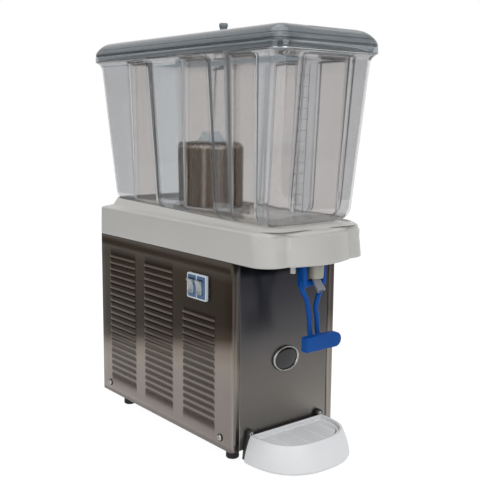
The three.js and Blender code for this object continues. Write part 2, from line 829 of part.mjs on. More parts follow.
const gasketInner = drumRadius + seat;
const gasketOuter = gasketInner + gasketWidth;
const gasket = turned([
  [gasketInner, deckTop + seat], [gasketOuter, deckTop + seat],
  [gasketOuter, deckTop + seat + gasketHeight * 0.5], [gasketInner + 2, deckTop + seat + gasketHeight],
  [gasketInner, deckTop + seat + gasketHeight], [gasketInner, deckTop + seat],
], 24).translate([0, drumCentreY, 0]);
add('drum_gasket', gasket, softSeal);

function stirrer() {
  const bottom = drumTop + seat;
  const hub = turned([
    [0, bottom], [stirrerRadius, bottom], [stirrerRadius, bottom + 2.5], [9, bottom + 3.5],
    [7, bottom + stirrerHeight], [0, bottom + stirrerHeight],
  ], 16);
  const vanes = Array.from({ length: stirrerVanes }, (_, i) =>
    block([4, stirrerRadius - 0.5], [-1, 1], [bottom + 1, bottom + stirrerHeight - 3])
      .rotate([0, 0, (360 * i) / stirrerVanes]));
  return joined([hub, ...vanes]).translate([0, drumCentreY, 0]);
}

add('stirrer', stirrer(), stirrerPlastic);

const motorTop = frameTop + 6;
const motorBottom = motorTop - stirrerMotorHeight;
const magnetTop = drumTop - drumWall - 1;
const stirrerMotor = turned([
  [0, motorBottom], [stirrerMotorRadius, motorBottom], [stirrerMotorRadius, frameTop + seat],
  [stirrerMotorRadius + 6, frameTop + seat], [stirrerMotorRadius + 6, frameTop + seat + 2],
  [stirrerMotorRadius, frameTop + seat + 2], [stirrerMotorRadius - 4, motorTop], [0, motorTop],
], 20).translate([0, drumCentreY, 0]);
add('stirrer_motor', stirrerMotor, blackPaint);

const driveShaft = turned([
  [0, motorTop + seat], [driveShaftRadius, motorTop + seat],
  [driveShaftRadius, magnetTop - magnetHeight], [magnetRadius, magnetTop - magnetHeight],
  [magnetRadius, magnetTop], [0, magnetTop],
], 16).translate([0, drumCentreY, 0]);
add('drive_magnet', driveShaft, plainSteel);

// Tank

// The wall at a height, drawn in by an inset; the wall spreads towards the rim
function tankRing(level, inset) {
  const share = (level - tankFloor) / tankWallHeight;
  return roundedRing(mix(tankFloorHalfWidth, tankTopHalfWidth, share) - inset,
    mix(tankFloorFront, tankTopFront, share) + inset,
    mix(tankFloorRear, tankTopRear, share) - inset,
    Math.max(tankCornerRadius - inset, 3), Math.max(tankCornerRadius - inset, 3), level);
}

function rimRing(level, inset) {
  const radius = Math.max(rimCornerRadius - inset, 4);
  return roundedRing(rimHalfWidth - inset, rimFront + inset, rimRear - inset, radius, radius, level);
}

// Half way up the hollow flare under the rim
function flareRing(inset) {
  const share = 0.3;
  const radius = mix(tankCornerRadius, rimCornerRadius, share) - inset;
  return roundedRing(mix(tankTopHalfWidth, rimHalfWidth, share) - inset,
    mix(tankTopFront, rimFront, share) + inset, mix(tankTopRear, rimRear, share) - inset,
    radius, radius, wallTop + tankFlareHeight * 0.55);
}

// The round foot of the wall, from the floor up to where the wall runs straight
function tankFoot(floor, inset, radius) {
  return [0, 1, 2].map((i) => {
    const angle = (Math.PI / 2) * (i / 3);
    return tankRing(floor + radius * (1 - Math.cos(angle)), inset + radius * (1 - Math.sin(angle)));
  });
}

// What a flute takes out of one side wall: its floor stands steeper than the drafted wall, and
// its two edges lean from their place at the tank's floor to the one at the top of the wall
function fluteTool(side, foot, head, grow) {
  const slope = (tankTopHalfWidth - fluteTopDepth - tankFloorHalfWidth + fluteBottomDepth) / tankWallHeight;
  const outside = rimHalfWidth + 20;
  const sectionAt = (level) => {
    const share = (level - tankFloor) / tankWallHeight;
    const floor = tankFloorHalfWidth - fluteBottomDepth + slope * (level - tankFloor) - grow;
    const from = mix(foot[0], head[0], share) - grow;
    const to = mix(foot[1], head[1], share) + grow;
    return [[floor, from], [outside, from], [outside, to], [floor, to]]
      .map(([x, y]) => new THREE.Vector3(x, y, level));
  };
  const tool = loft([sectionAt(tankFloor - 5), sectionAt(rimBottom - grow)]);
  return side > 0 ? tool : tool.mirror([1, 0, 0]);
}

// The shallow panel sunk into the front wall
function frontPanelTool(grow) {
  const bottom = tankFloor - 5;
  const slope = (tankTopFront - tankFloorFront) / tankWallHeight;
  const faceAt = (level) => tankFloorFront + slope * (level - tankFloor) + frontPanelDepth + grow;
  const top = wallTop - grow;
  const outside = rimFront - 20;
  const shape = shapeOf([
    [faceAt(bottom), bottom], [faceAt(top), top], [outside, top], [outside, bottom],
  ]);
  return drawnAlongX(shape, -frontPanelHalfWidth - grow, frontPanelHalfWidth + grow);
}

function tank() {
  const flutes = (grow) => [frontPanelTool(grow), ...[-1, 1].flatMap((side) =>
    fluteFeet.map((foot, i) => fluteTool(side, foot, fluteTops[i], grow)))];
  const outside = loft([
    ...tankFoot(tankFloor, 0, tankFilletRadius), tankRing(tankFloor + tankFilletRadius, 0),
    tankRing(wallTop, 0), flareRing(0), rimRing(rimBottom, 0), rimRing(rimTop, 0),
  ]);
  const innerRadius = tankFilletRadius - tankWall;
  const innerFloor = tankFloor + tankWall;
  const inside = loft([
    ...tankFoot(innerFloor, tankWall, innerRadius), tankRing(innerFloor + innerRadius, tankWall),
    tankRing(wallTop, tankWall), flareRing(tankWall), rimRing(rimBottom + 2, 6), rimRing(rimTop + 1, 6),
  ]);
  const collarInner = gasketOuter + seat;
  const collar = turned([
    [collarInner, tankFloor], [collarInner + tankWall, tankFloor],
    [collarInner + tankWall, tankFloor + 11], [collarInner, tankFloor + 11], [collarInner, tankFloor],
  ], 24).translate([0, drumCentreY, 0]);
  const drumHole = cylinder(collarInner, tankFloor - 2, tankFloor + 20, 0, drumCentreY, 24);
  const spigotEnd = tankFloor - spigotLength;
  const spigot = cylinder(spigotRadius, spigotEnd, tankFloor + 2, 0, spigotCentreY);
  const spigotHole = cylinder(spigotBore, spigotEnd - 2, tankFloor + 10, 0, spigotCentreY);
  const groove = turned([
    [spigotRadius - 1.6, sealLevel - 1.5], [spigotRadius + 2, sealLevel - 1.5],
    [spigotRadius + 2, sealLevel + 1.5], [spigotRadius - 1.6, sealLevel + 1.5],
    [spigotRadius - 1.6, sealLevel - 1.5],
  ], 16).translate([0, spigotCentreY, 0]);
  const shell = cut(cut(outside, flutes(0)), [cut(inside, flutes(tankWall))]);
  return cut(joined([shell.subtract(drumHole), collar, spigot]), [spigotHole, groove]);
}

const sealLevel = tapTopLevel + socketHeight - 10;
add('tank', tank(), clearTank);

const sealInner = spigotRadius - 1.6 + 0.2;
const spigotSeal = turned([
  [sealInner, sealLevel - 1.1], [spigotRadius + 0.1, sealLevel - 1.1],
  [spigotRadius + 0.4, sealLevel], [spigotRadius + 0.1, sealLevel + 1.1],
  [sealInner, sealLevel + 1.1], [sealInner, sealLevel - 1.1],
], 16).translate([0, spigotCentreY, 0]);
add('spigot_seal', spigotSeal, blackRubber);

// Lid

function lid() {
  const shoulder = [1, 2, 3].map((i) => {
    const angle = (Math.PI / 2) * (i / 3);
    return rimRing(skirtTop + lidShoulder * Math.sin(angle), lidShoulderInset * (1 - Math.cos(angle)));
  });
  const outside = loft([
    rimRing(lidBottom, lidGrooveDepth), rimRing(grooveTop, lidGrooveDepth),
    rimRing(grooveTop + 0.2, 0), rimRing(skirtTop, 0), ...shoulder,
    rimRing(lidTop, lidShoulderInset + lidPlateauInset),
    rimRing(plateauTop, lidShoulderInset + lidPlateauInset + 2),
  ]);
  const skirt = lidShoulderInset + 2;
  const hollow = loft([
    rimRing(lidBottom - 1, skirt), rimRing(lidTop - lidTopThickness, skirt),
  ]);
  const notch = block([-lidNotchWidth / 2, lidNotchWidth / 2],
    [rimFront - 2, rimFront + lidShoulderInset + lidPlateauInset - 1],
    [lidTop - lidNotchDepth, plateauTop + 2]);
  const knobHole = cylinder(3 + seat, lidTop - 10, plateauTop + 2, 0, lidMiddleY, 16);
  return cut(outside, [hollow.subtract(notchBacking()), notch, knobHole]);
}

// Keeps the lid closed where the notch is cut
function notchBacking() {
  return block([-lidNotchWidth / 2 - 3, lidNotchWidth / 2 + 3],
    [rimFront, rimFront + lidShoulderInset + lidPlateauInset + 2],
    [lidTop - lidNotchDepth - lidTopThickness, lidTop]);
}

const lidMiddleY = (rimFront + rimRear) / 2;
add('lid', lid(), smokeLid);

const knobBase = plateauTop + seat;
const knobTop = knobBase + lidKnobHeight;
const lidKnob = turned([
  [0, plateauTop - lidPlateauRise - 1], [3, plateauTop - lidPlateauRise - 1], [3, knobBase],
  [lidKnobRadius, knobBase], [lidKnobRadius - 1.6, knobBase + 6], [lidKnobRadius - 1.2, knobTop - 8],
  [lidKnobRadius, knobTop - 6], [lidKnobRadius, knobTop - 1.5], [lidKnobRadius - 1.5, knobTop],
  [0, knobTop],
], 12).translate([0, lidMiddleY, 0]);
add('lid_knob', lidKnob, greyPlastic);

// Tap

const seatLevel = tapBlockLevel - 6;
const chamberBottom = tapBottomLevel + 3;
const chamberRadius = tapRadius - 2.6;
const blockHalfWidth = 12;
const blockRear = spigotCentreY + spigotRadius + socketWall;
const socketTop = tapTopLevel + socketHeight;
const socketRadius = spigotRadius + seat + 0.2;

function tapBody() {
  const barrel = turned([
    [0, tapBottomLevel], [tapBottomRadius - 1, tapBottomLevel], [tapBottomRadius, tapBottomLevel + 1.5],
    [tapRadius, tapBlockLevel], [tapRadius, tapTopLevel], [0, tapTopLevel],
  ], 16).translate([0, tapCentreY, 0]);
  const slab = block([-blockHalfWidth, blockHalfWidth], [tapCentreY, blockRear],
    [tapBlockLevel, tapTopLevel]);
  const socket = cylinder(socketRadius + socketWall, tapBlockLevel, socketTop, 0, spigotCentreY);
  const ears = [-1, 1].map((side) => ear(side));
  const body = joined([barrel, slab, socket, ...ears]);
  return cut(body, [
    cylinder(chamberRadius, chamberBottom, seatLevel, 0, tapCentreY, 16),
    cylinder(seatHoleRadius, seatLevel - 1, tapTopLevel - 2.5, 0, tapCentreY),
    cylinder(stemRadius + seat, tapTopLevel - 4, tapTopLevel + 2, 0, tapCentreY, 16),
    cylinder(3.5, tapBottomLevel - 2, chamberBottom + 1, 0, tapCentreY - 3, 16),
    block([-3.5, 3.5], [tapCentreY, spigotCentreY], [tapBlockLevel + 1.5, tapTopLevel - 2.8]),
    cylinder(spigotBore, tapBlockLevel + 1.5, tapTopLevel, 0, spigotCentreY),
    cylinder(socketRadius, tapTopLevel - 1, socketTop + 2, 0, spigotCentreY),
    bar(leverPinRadius + 0.15, -40, 40, 'x', [0, leverPinY, leverPinLevel], 12),
  ]);
}

// An ear beside the barrel that carries one end of the lever pin
function ear(side) {
  const r = 5.5;
  const outline = new THREE.Shape();
  outline.moveTo(leverPinY - r, tapBlockLevel);
  outline.lineTo(leverPinY + r, tapBlockLevel);
  outline.lineTo(leverPinY + r, leverPinLevel);
  outline.absarc(leverPinY, leverPinLevel, r, 0, Math.PI, false);
  const foot = block(side > 0 ? [earInner - 4, earInner + earThickness] : [-earInner - earThickness, 4 - earInner],
    [leverPinY - r, leverPinY + r], [tapBlockLevel, tapTopLevel]);
  const from = side > 0 ? earInner : -earInner - earThickness;
  return drawnAlongX(outline, from, from + earThickness).add(foot);
}

add('tap_body', tapBody(), whitePlastic);

// Piston: a plug that closes upwards on its seat, a stem and a grooved head for the lever's pegs
const plugTop = seatLevel - seat;
const grooveHalf = 2.2;
const headRadius = 7.5;

function piston() {
  return turned([
    [0, plugTop - 6], [plugRadius, plugTop - 6], [plugRadius, plugTop - 1.5], [plugRadius - 1.5, plugTop],
    [stemRadius, plugTop], [stemRadius, leverPinLevel - grooveHalf - 2.4],
    [headRadius, leverPinLevel - grooveHalf - 2.4], [headRadius, leverPinLevel - grooveHalf],
    [4.2, leverPinLevel - grooveHalf], [4.2, leverPinLevel + grooveHalf],
    [headRadius, leverPinLevel + grooveHalf], [headRadius, leverPinLevel + grooveHalf + 2.2],
    [0, leverPinLevel + grooveHalf + 2.2],
  ], 12).translate([0, tapCentreY, 0]);
}

add('tap_piston', piston(), greyPlastic);

// Return spring round the stem, between the tap and the head
function spring() {
  const bottom = tapTopLevel + seat + springWire;
  const top = leverPinLevel - grooveHalf - 2.4 - seat - springWire;
  const radius = 5.4;
  const steps = 8 * springTurns;
  const points = Array.from({ length: steps + 1 }, (_, i) => {
    const angle = (2 * Math.PI * i) / 8;
    return [radius * Math.cos(angle), tapCentreY + radius * Math.sin(angle), mix(bottom, top, i / steps)];
  });
  return rod(points, springWire, 4, steps);
}

add('tap_spring', spring(), chrome);

// Nozzle: a short tube that leans forward under the barrel
function nozzle() {
  const tube = turned([
    [nozzleBore, 0], [nozzleRadius, 0], [nozzleRadius, nozzleLength], [nozzleBore, nozzleLength],
    [nozzleBore, 0],
  ], 16);
  const tilted = tube.translate([0, 0, -nozzleLength]).rotate([-nozzleTilt, 0, 0]);
  const start = [0, tapCentreY + 1.5, tapBottomLevel + 4];
  const ceiling = block([-20, 20], [tapCentreY - 40, tapCentreY + 40],
    [tapBottomLevel - seat, tapBottomLevel + 40]);
  return tilted.translate(start).subtract(ceiling);
}

add('nozzle', nozzle(), whitePlastic);

// Lever: two arms on the pin, a web, two rods and a hollow paddle
function leverArm(side) {
  const top = leverPinLevel;
  const outline = shapeOf([
    [armFront, webLevel], [armRear, webLevel], [armRear + 1, top - 20],
    [leverPinY + 7, top - 6], [leverPinY + 7, top + 4], [leverPinY + 4, top + 7],
    [tapCentreY - 3, top + 7], [tapCentreY - 6, top + 3], [tapCentreY - 6, top - 6],
    [armFront, top - 18],
  ]);
  const from = side > 0 ? armInner : -armInner - armThickness;
  const peg = bar(1.8, side > 0 ? 5 : -armInner - 1, side > 0 ? armInner + 1 : -5, 'x',
    [0, tapCentreY, leverPinLevel], 12);
  return drawnAlongX(outline, from, from + armThickness).add(peg);
}

function leverRod(side) {
  const x = side * (armInner + armThickness / 2);
  const near = side * rodSpacing / 2;
  const y = (armFront + armRear) / 2;
  const web = webLevel;
  const paddle = paddleLevel;
  return rod([
    [x, y, web + 6], [x, y - 1, web - 4], [near * 1.5, rodCentreY, web - 18], [near, rodCentreY, web - 30],
    [near, rodCentreY, paddle + 30], [near, rodCentreY - 4, paddle + 17],
    [near, paddleFront + paddleDepth * 0.75, paddle + 6], [near, paddleFront + 3, paddle],
  ], rodRadius, 8, 8);
}

function stadium(halfWidth, halfHeight, centre) {
  const shape = new THREE.Shape();
  const x = halfWidth - halfHeight;
  shape.moveTo(-x, centre - halfHeight);
  shape.lineTo(x, centre - halfHeight);
  shape.absarc(x, centre, halfHeight, -Math.PI / 2, Math.PI / 2, false);
  shape.lineTo(-x, centre + halfHeight);
  shape.absarc(-x, centre, halfHeight, Math.PI / 2, (3 * Math.PI) / 2, false);
  return shape;
}

function lever() {
  const centre = paddleLevel;
  const outer = drawnAlongY(stadium(paddleHalfWidth, paddleHeight / 2, centre),
    paddleFront, paddleFront + paddleDepth);
  const hollow = drawnAlongY(
    stadium(paddleHalfWidth - paddleWall, paddleHeight / 2 - paddleWall, centre),
    paddleFront + paddleWall, paddleFront + paddleDepth + 1);
  const middle = (armFront + armRear) / 2;
  const web = block([-armInner - 2, armInner + 2], [middle - 3, middle + 3],
    [webLevel, webLevel + webHeight]);
  const pinHole = bar(leverPinRadius + 0.15, -40, 40, 'x', [0, leverPinY, leverPinLevel], 12);
  const parts = [outer.subtract(hollow), web, leverArm(-1), leverArm(1), leverRod(-1), leverRod(1)];
  return joined(parts).subtract(pinHole);
}

add('lever', lever(), bluePlastic);

const pinEnd = armInner + armThickness + 3;
add('lever_pin', bar(leverPinRadius, -pinEnd, pinEnd, 'x', [0, leverPinY, leverPinLevel], 12), chrome);

// Drip tray

// A flat-backed round outline whose front curve is a superellipse
function trayRing(halfWidth, reach, back, level, roundness = trayRimRoundness) {
  const steps = 16;
  const power = 2 / roundness;
  return Array.from({ length: steps + 1 }, (_, i) => {
    const angle = -Math.PI + (Math.PI * i) / steps;
    const cos = Math.cos(angle);
    const sin = Math.abs(Math.sin(angle));
    const x = halfWidth * Math.sign(cos) * Math.abs(cos) ** power;
    return new THREE.Vector3(x, back - reach * sin ** power, level);
  });
}

const trayFloorLevel = trayFootClearance;
const trayFootTop = trayFloorLevel + trayFootRise;
const grilleSeat = trayTop - grilleRecess - grilleThickness;

function traySkin(level, inset) {
  const share = THREE.MathUtils.clamp((level - trayFootTop) / (trayTop - trayFootTop), 0, 1);
  const swell = Math.sin(share * Math.PI) * traySwell;
  return trayRing(mix(trayFootHalfWidth, trayTopHalfWidth, share) + swell - inset,
    mix(trayFootReach, trayTopReach, share) + swell - inset, trayBack, level,
    mix(trayFootRoundness, trayRimRoundness, share));
}

function dripTray() {
  const floor = trayFloorLevel;
  const skin = loft([
    traySkin(floor, trayFootInset),
    traySkin(floor + 0.3 * trayFootRise, 0.32 * trayFootInset), traySkin(trayFootTop, 0),
    traySkin(mix(floor, trayTop, 0.4), 0), traySkin(mix(floor, trayTop, 0.7), 0),
    traySkin(trayTop - trayRimRound, 0), traySkin(trayTop, trayRimRound),
  ]);
  const under = loft([
    traySkin(floor - 1, trayFootInset + trayWall), traySkin(trayFootTop, trayWall),
    traySkin(mix(floor, trayTop, 0.5), trayWall), traySkin(grilleSeat - trayWall, trayWall),
  ]).subtract(block([-2 * trayFootHalfWidth, 2 * trayFootHalfWidth],
    [trayBack - trayWall, -trayBack], [-trayTop, 2 * trayTop]));
  const lipHalf = trayTopHalfWidth - trayRimWidth;
  const lipReach = trayTopReach - 2 * trayRimWidth;
  const back = trayBack - trayRimWidth;
  const bowl = loft([
    trayRing(lipHalf - bowlDraft, lipReach - bowlDraft, back - 1, floor + bowlClearance),
    trayRing(lipHalf + 1, lipReach + 1, back + 1, grilleSeat - trayWall + 1),
  ]);
  const water = loft([
    trayRing(lipHalf - bowlDraft - grilleLedge, lipReach - bowlDraft - grilleLedge, back - 3,
      floor + bowlClearance + trayWall),
    ...[0, 1].map((rise) => trayRing(lipHalf - grilleLedge, lipReach - grilleLedge,
      back - grilleLedge / 2, grilleSeat + rise)),
  ]);
  const recess = loft([
    trayRing(lipHalf, lipReach, back, grilleSeat), trayRing(lipHalf, lipReach, back, trayTop + 2),
  ]);
  return cut(skin.subtract(under).add(bowl), [water, recess]);
}

add('drip_tray', dripTray(), trayPlastic);

// Grille: slots that run from the back to the front, in panels between thicker bars
function dripGrille() {
  const half = trayTopHalfWidth - trayRimWidth - grilleGap;
  const reach = trayTopReach - 2 * trayRimWidth - 2 * grilleGap;
  const back = trayBack - trayRimWidth - grilleGap;
  const bottom = grilleSeat + seat;
  const plate = loft([
    trayRing(half, reach, back, bottom), trayRing(half, reach, back, bottom + grilleThickness),
  ]);
  const panelWidth = (2 * (half - 6)) / grillePanels;
  const slots = [];
  for (let panel = 0; panel < grillePanels; panel += 1) {
    const centre = (panel - (grillePanels - 1) / 2) * panelWidth;
    for (let i = 0; i < grilleSlotsPerPanel; i += 1) {
      const x = centre + (i - (grilleSlotsPerPanel - 1) / 2) * grilleSlotPitch;
      const edge = 1 - Math.abs(x / (half - 2)) ** trayRimRoundness;
      const length = reach * edge ** (1 / trayRimRoundness) - 10;
      slots.push(block([x - grilleSlotWidth / 2, x + grilleSlotWidth / 2],
        [back - 5 - length, back - 5], [bottom - 1, bottom + grilleThickness + 1]));
    }
  }
  return cut(plate, slots);
}

add('drip_grille', dripGrille(), trayPlastic);

// Black bracket behind the tray, held to the front panel by two screws
function trayBracket() {
  const bottom = panelBottom - bracketDrop;
  const hem = bottom + bracketHemHeight;
  const top = trayScrewLevel + bracketEarRise;
  const low = trayFootHalfWidth + 1;
  const high = trayTopHalfWidth + trayWall;
  const ear = trayScrewX - bracketEarWidth / 2;
  const outline = shapeOf([
    [-low, bottom], [low, bottom], [low - 1, hem], [high, top - bracketChamfer],
    [high - bracketChamfer, top], [ear, top], [ear - bracketChamfer, trayTop + bracketClearance],
    [bracketChamfer - ear, trayTop + bracketClearance], [-ear, top], [bracketChamfer - high, top],
    [-high, top - bracketChamfer], [1 - low, hem],
  ]);
  const plate = drawnAlongY(outline, -bracketThickness - seat, -seat);
  const holes = trayScrewPlaces.map((x) =>
    bar(screwShankRadius + seat, -2 * bracketThickness, bracketThickness, 'y', [x, 0, trayScrewLevel], 8));
  const heads = trayScrewPlaces.map((x) =>
    bar(screwHeadRadius + 1, -2 * bracketThickness, -bracketThickness + bracketScrewSeat, 'y',
      [x, 0, trayScrewLevel], 14));
  return cut(plate, [...holes, ...heads]);
}

add('tray_bracket', trayBracket(), blackPlastic);

trayScrewPlaces.forEach((x, i) => {
  const geometry = turnedGeometry(screwProfile(), 8).rotateX(Math.PI / 2);
  const face = -bracketThickness + bracketScrewSeat - seat;
  add(`tray_screw_${i === 0 ? 'left' : 'right'}`, solid(geometry.translate(x, face, trayScrewLevel)), chrome);
});

// Machinery behind the louvres

const plateTop = panelBottom + sheet;
const compressorBottom = plateTop + seat;

const compressorCentreY = cabinetDepth - compressorRearGap - compressorRadius - 3;

function compressor() {
  const r = compressorRadius;
  const h = compressorHeight;
  const shell = turned([
    [0, 14], [r * 0.6, 14], [r * 0.92, 24], [r, 40], [r, h * 0.55], [r + 3, h * 0.57], [r + 3, h * 0.61],
    [r, h * 0.63], [r, h * 0.75], [r * 0.85, h * 0.93], [r * 0.5, h], [0, h],
  ], 14);
  const legs = [45, 135, 225, 315].map((angle) =>
    joined([
      block([0, r * 1.05], [-9, 9], [11, 15]),
      cylinder(7, 0, 13, r * 0.95, 0, 6),
    ]).rotate([0, 0, angle]));
  return joined([shell, ...legs]).translate([0, compressorCentreY, compressorBottom]);
}

add('compressor', compressor(), blackPaint);

// Condenser: a finned block open at the top for the air to show the fins
const condenserBottom = plateTop + seat;

function condenser() {
  const half = condenserWidth / 2;
  const pitch = (condenserWidth - 8) / condenserFins;
  const core = block([-half, half], [condenserStart, condenserStart + condenserDepth],
    [condenserBottom, condenserBottom + condenserHeight]);
  const grooves = [];
  for (let i = 0; i < condenserFins; i += 1) {
    const x = -half + 4 + i * pitch;
    [[condenserStart - 1, condenserStart + 12],
      [condenserStart + condenserDepth - 12, condenserStart + condenserDepth + 1]].forEach((y) =>
      grooves.push(block([x + 1.2, x + pitch - 1.2], y,
        [condenserBottom + 5, condenserBottom + condenserHeight - 5])));
  }
  return cut(core, grooves);
}

add('condenser', condenser(), plainSteel);

const fanLevel = fanCentreHeight + panelBottom;
const shroudFront = condenserStart + condenserDepth + seat;
const shroudDepth = 26;
const shroudRear = shroudFront + shroudDepth;

// Shroud: a plate with a round throat and three spokes that hold the fan motor
function fanShroud() {
  const half = condenserWidth / 2;
  const plate = block([-half, half], [shroudFront, shroudFront + 2],
    [condenserBottom, condenserBottom + condenserHeight]);
  const throat = bar(fanRadius + 6, shroudFront, shroudRear, 'y', [0, 0, fanLevel], 16);
  const air = bar(fanRadius + 3, shroudFront - 1, shroudRear + 1, 'y', [0, 0, fanLevel], 16);
  const spokes = [30, 150, 270].map((angle) =>
    block([fanMotorRadius - 4, fanRadius + 5], [shroudRear - 4, shroudRear], [-5, 5])
      .rotate([0, angle, 0]).translate([0, 0, fanLevel]));
  const ring = bar(fanMotorRadius + 3, shroudRear - 4, shroudRear, 'y', [0, 0, fanLevel], 12);
  const shaftHole = bar(6, shroudRear - 10, shroudRear + 2, 'y', [0, 0, fanLevel], 12);
  return cut(joined([cut(plate.add(throat), [air]), ...spokes, ring]), [shaftHole]);
}

add('fan_shroud', fanShroud(), blackPlastic);

const fanMotor = bar(fanMotorRadius, shroudRear + seat, shroudRear + fanMotorDepth, 'y', [0, 0, fanLevel], 16)
  .add(bar(3, shroudRear - shroudDepth + 8, shroudRear + 1, 'y', [0, 0, fanLevel], 8));
add('fan_motor', fanMotor, blackPaint);

// Fan: pitched blades on a hub
function fan() {
  const front = shroudFront + 4;
  const middle = front + fanDepth / 2;
  const hub = bar(15, front, front + fanDepth, 'y', [0, 0, 0], 12);
  const blades = Array.from({ length: fanBlades }, (_, i) =>
    block([8, fanRadius], [-1, 1], [-15, 15]).rotate([28, 0, 0]).translate([0, middle, 0])
      .rotate([0, (360 * i) / fanBlades, 0]));
  const bore = bar(3 + seat, front + 2, front + fanDepth + 1, 'y', [0, 0, 0], 8);
  return cut(joined([hub, ...blades]), [bore]).translate([0, 0, fanLevel]);
}

add('condenser_fan', fan(), greyPlastic);

// The origin is at the middle of the base
const bounds = new THREE.Box3().setFromObject(dispenser);
dispenser.position.x = -(bounds.min.x + bounds.max.x) / 2;
dispenser.position.y = -(bounds.min.y + bounds.max.y) / 2;

export default dispenser;
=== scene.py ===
import math

import bmesh
import bpy
import numpy as np
from mathutils import Matrix, Vector


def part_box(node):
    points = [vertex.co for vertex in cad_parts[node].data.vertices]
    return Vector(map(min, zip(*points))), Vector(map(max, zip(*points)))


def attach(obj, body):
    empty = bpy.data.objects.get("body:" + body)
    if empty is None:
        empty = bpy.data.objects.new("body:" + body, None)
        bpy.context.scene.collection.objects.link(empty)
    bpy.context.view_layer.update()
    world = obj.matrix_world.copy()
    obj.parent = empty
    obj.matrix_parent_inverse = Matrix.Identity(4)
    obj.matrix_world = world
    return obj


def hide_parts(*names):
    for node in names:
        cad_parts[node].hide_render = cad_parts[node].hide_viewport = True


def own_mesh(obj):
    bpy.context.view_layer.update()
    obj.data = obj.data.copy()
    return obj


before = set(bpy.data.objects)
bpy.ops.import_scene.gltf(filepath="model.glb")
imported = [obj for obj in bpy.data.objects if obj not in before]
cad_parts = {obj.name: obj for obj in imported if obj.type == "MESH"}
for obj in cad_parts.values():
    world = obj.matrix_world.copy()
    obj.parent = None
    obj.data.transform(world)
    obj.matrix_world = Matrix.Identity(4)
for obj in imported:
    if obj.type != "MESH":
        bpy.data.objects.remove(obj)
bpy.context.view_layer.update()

# Every length below is in mm: x from the middle of the cabinet, y from the face of the
# front panel towards the rear, z from the table
panelLow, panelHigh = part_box("front_panel")
origin = np.array([500 * (panelLow.x + panelHigh.x), 1000 * panelLow.y, 0.0])

levels = dict(panelBottom=23, panelTop=296, basinBottom=296.3, basinShoulder=343, deck=346,
              tankFloor=346.6, wallTop=568.6, rimBottom=581.6, rimTop=590)
halfCabinet = 100
cabinetDepth = 363
drumCentre = (0, 179)


# Shapes

def mix(a, b, share):
    # a + (b - a) * share, for numbers and arrays alike
    return a + (b - a) * share


def smooth(value):
    # 3t^2 - 2t^3 with t held between 0 and 1
    t = np.clip(value, 0, 1)
    return t * t * (3 - 2 * t)


def gridFaces(rows, columns, closeRows=False, closeColumns=False):
    # Quad (i, j) joins point i * columns + j, its neighbour in the row and the pair above them
    i = np.arange(rows if closeRows else rows - 1)[:, None]
    j = np.arange(columns if closeColumns else columns - 1)[None, :]
    up, right = (i + 1) % rows, (j + 1) % columns
    corners = np.broadcast_arrays(i * columns + j, i * columns + right, up * columns + right,
                                  up * columns + j)
    return np.stack(corners, -1).reshape(-1, 4)


def loop(x, y, z):
    # Rings stacked into a closed shell: the last ring joins the first, as in a ring doughnut
    points = np.stack(np.broadcast_arrays(x, y, z), -1).astype(float)
    rows, columns = points.shape[:2]
    return points.reshape(-1, 3), [gridFaces(rows, columns, True, True)]


def skin(points, closeColumns=True, capped=False):
    # Rings from first to last, each closed on itself; the two ends may get one flat face each
    rows, columns = points.shape[:2]
    faces = [gridFaces(rows, columns, False, closeColumns)]
    if capped:
        ring = np.arange(columns)[None, :]
        faces += [ring[:, ::-1], ring + (rows - 1) * columns]
    return points.reshape(-1, 3), faces


def softened(corners, radii, steps=5, closed=True):
    # Round each corner P between A and B, a radius away on both sides, by the curve
    # (1 - t)^2 A + 2 t (1 - t) P + t^2 B
    p = np.array(corners, float)
    r = np.broadcast_to(np.array(radii, float), len(p))[:, None]
    towards = [np.roll(p, 1, 0) - p, np.roll(p, -1, 0) - p]
    reach = [np.linalg.norm(step, axis=1, keepdims=True) + 1e-9 for step in towards]
    a, b = [p + step / far * np.minimum(r, 0.48 * far) for step, far in zip(towards, reach)]
    t = np.linspace(0, 1, steps)[None, :, None]
    curve = (1 - t) ** 2 * a[:, None] + 2 * t * (1 - t) * p[:, None] + t ** 2 * b[:, None]
    if closed:
        return curve.reshape(-1, p.shape[1])
    return np.vstack([p[:1], curve[1:-1].reshape(-1, p.shape[1]), p[-1:]])


def turned(profile, centre, sides=64, axis="z", squash=(1, 1)):
    # Point = centre + radius * (cos a, sin a) across the axis + height along it
    radius, height = np.array(profile, float).T[:, :, None]
    angle = np.linspace(0, 2 * math.pi, sides, endpoint=False)[None, :]
    across, over = squash[0] * radius * np.cos(angle), squash[1] * radius * np.sin(angle)
    along = np.broadcast_to(height, across.shape)
    order = {"z": (across, over, along), "x": (along, across, over), "y": (across, along, over)}
    return skin(np.stack(order[axis], -1) + np.array(centre, float))


def smoothPath(points, count):
    # Catmull-Rom through the points: each stretch is a cubic whose slope at a point is half the
    # step between that point's two neighbours
    p = np.array(points, float)
    p = np.vstack([2 * p[0] - p[1], p, 2 * p[-1] - p[-2]])
    u = np.linspace(0, len(p) - 3, count)
    i = np.minimum(u.astype(int), len(p) - 4)
    t = (u - i)[:, None]
    a, b, c, d = p[i], p[i + 1], p[i + 2], p[i + 3]
    return b + 0.5 * t * (c - a + t * (2 * a - 5 * b + 4 * c - d + t * (3 * (b - c) + d - a)))


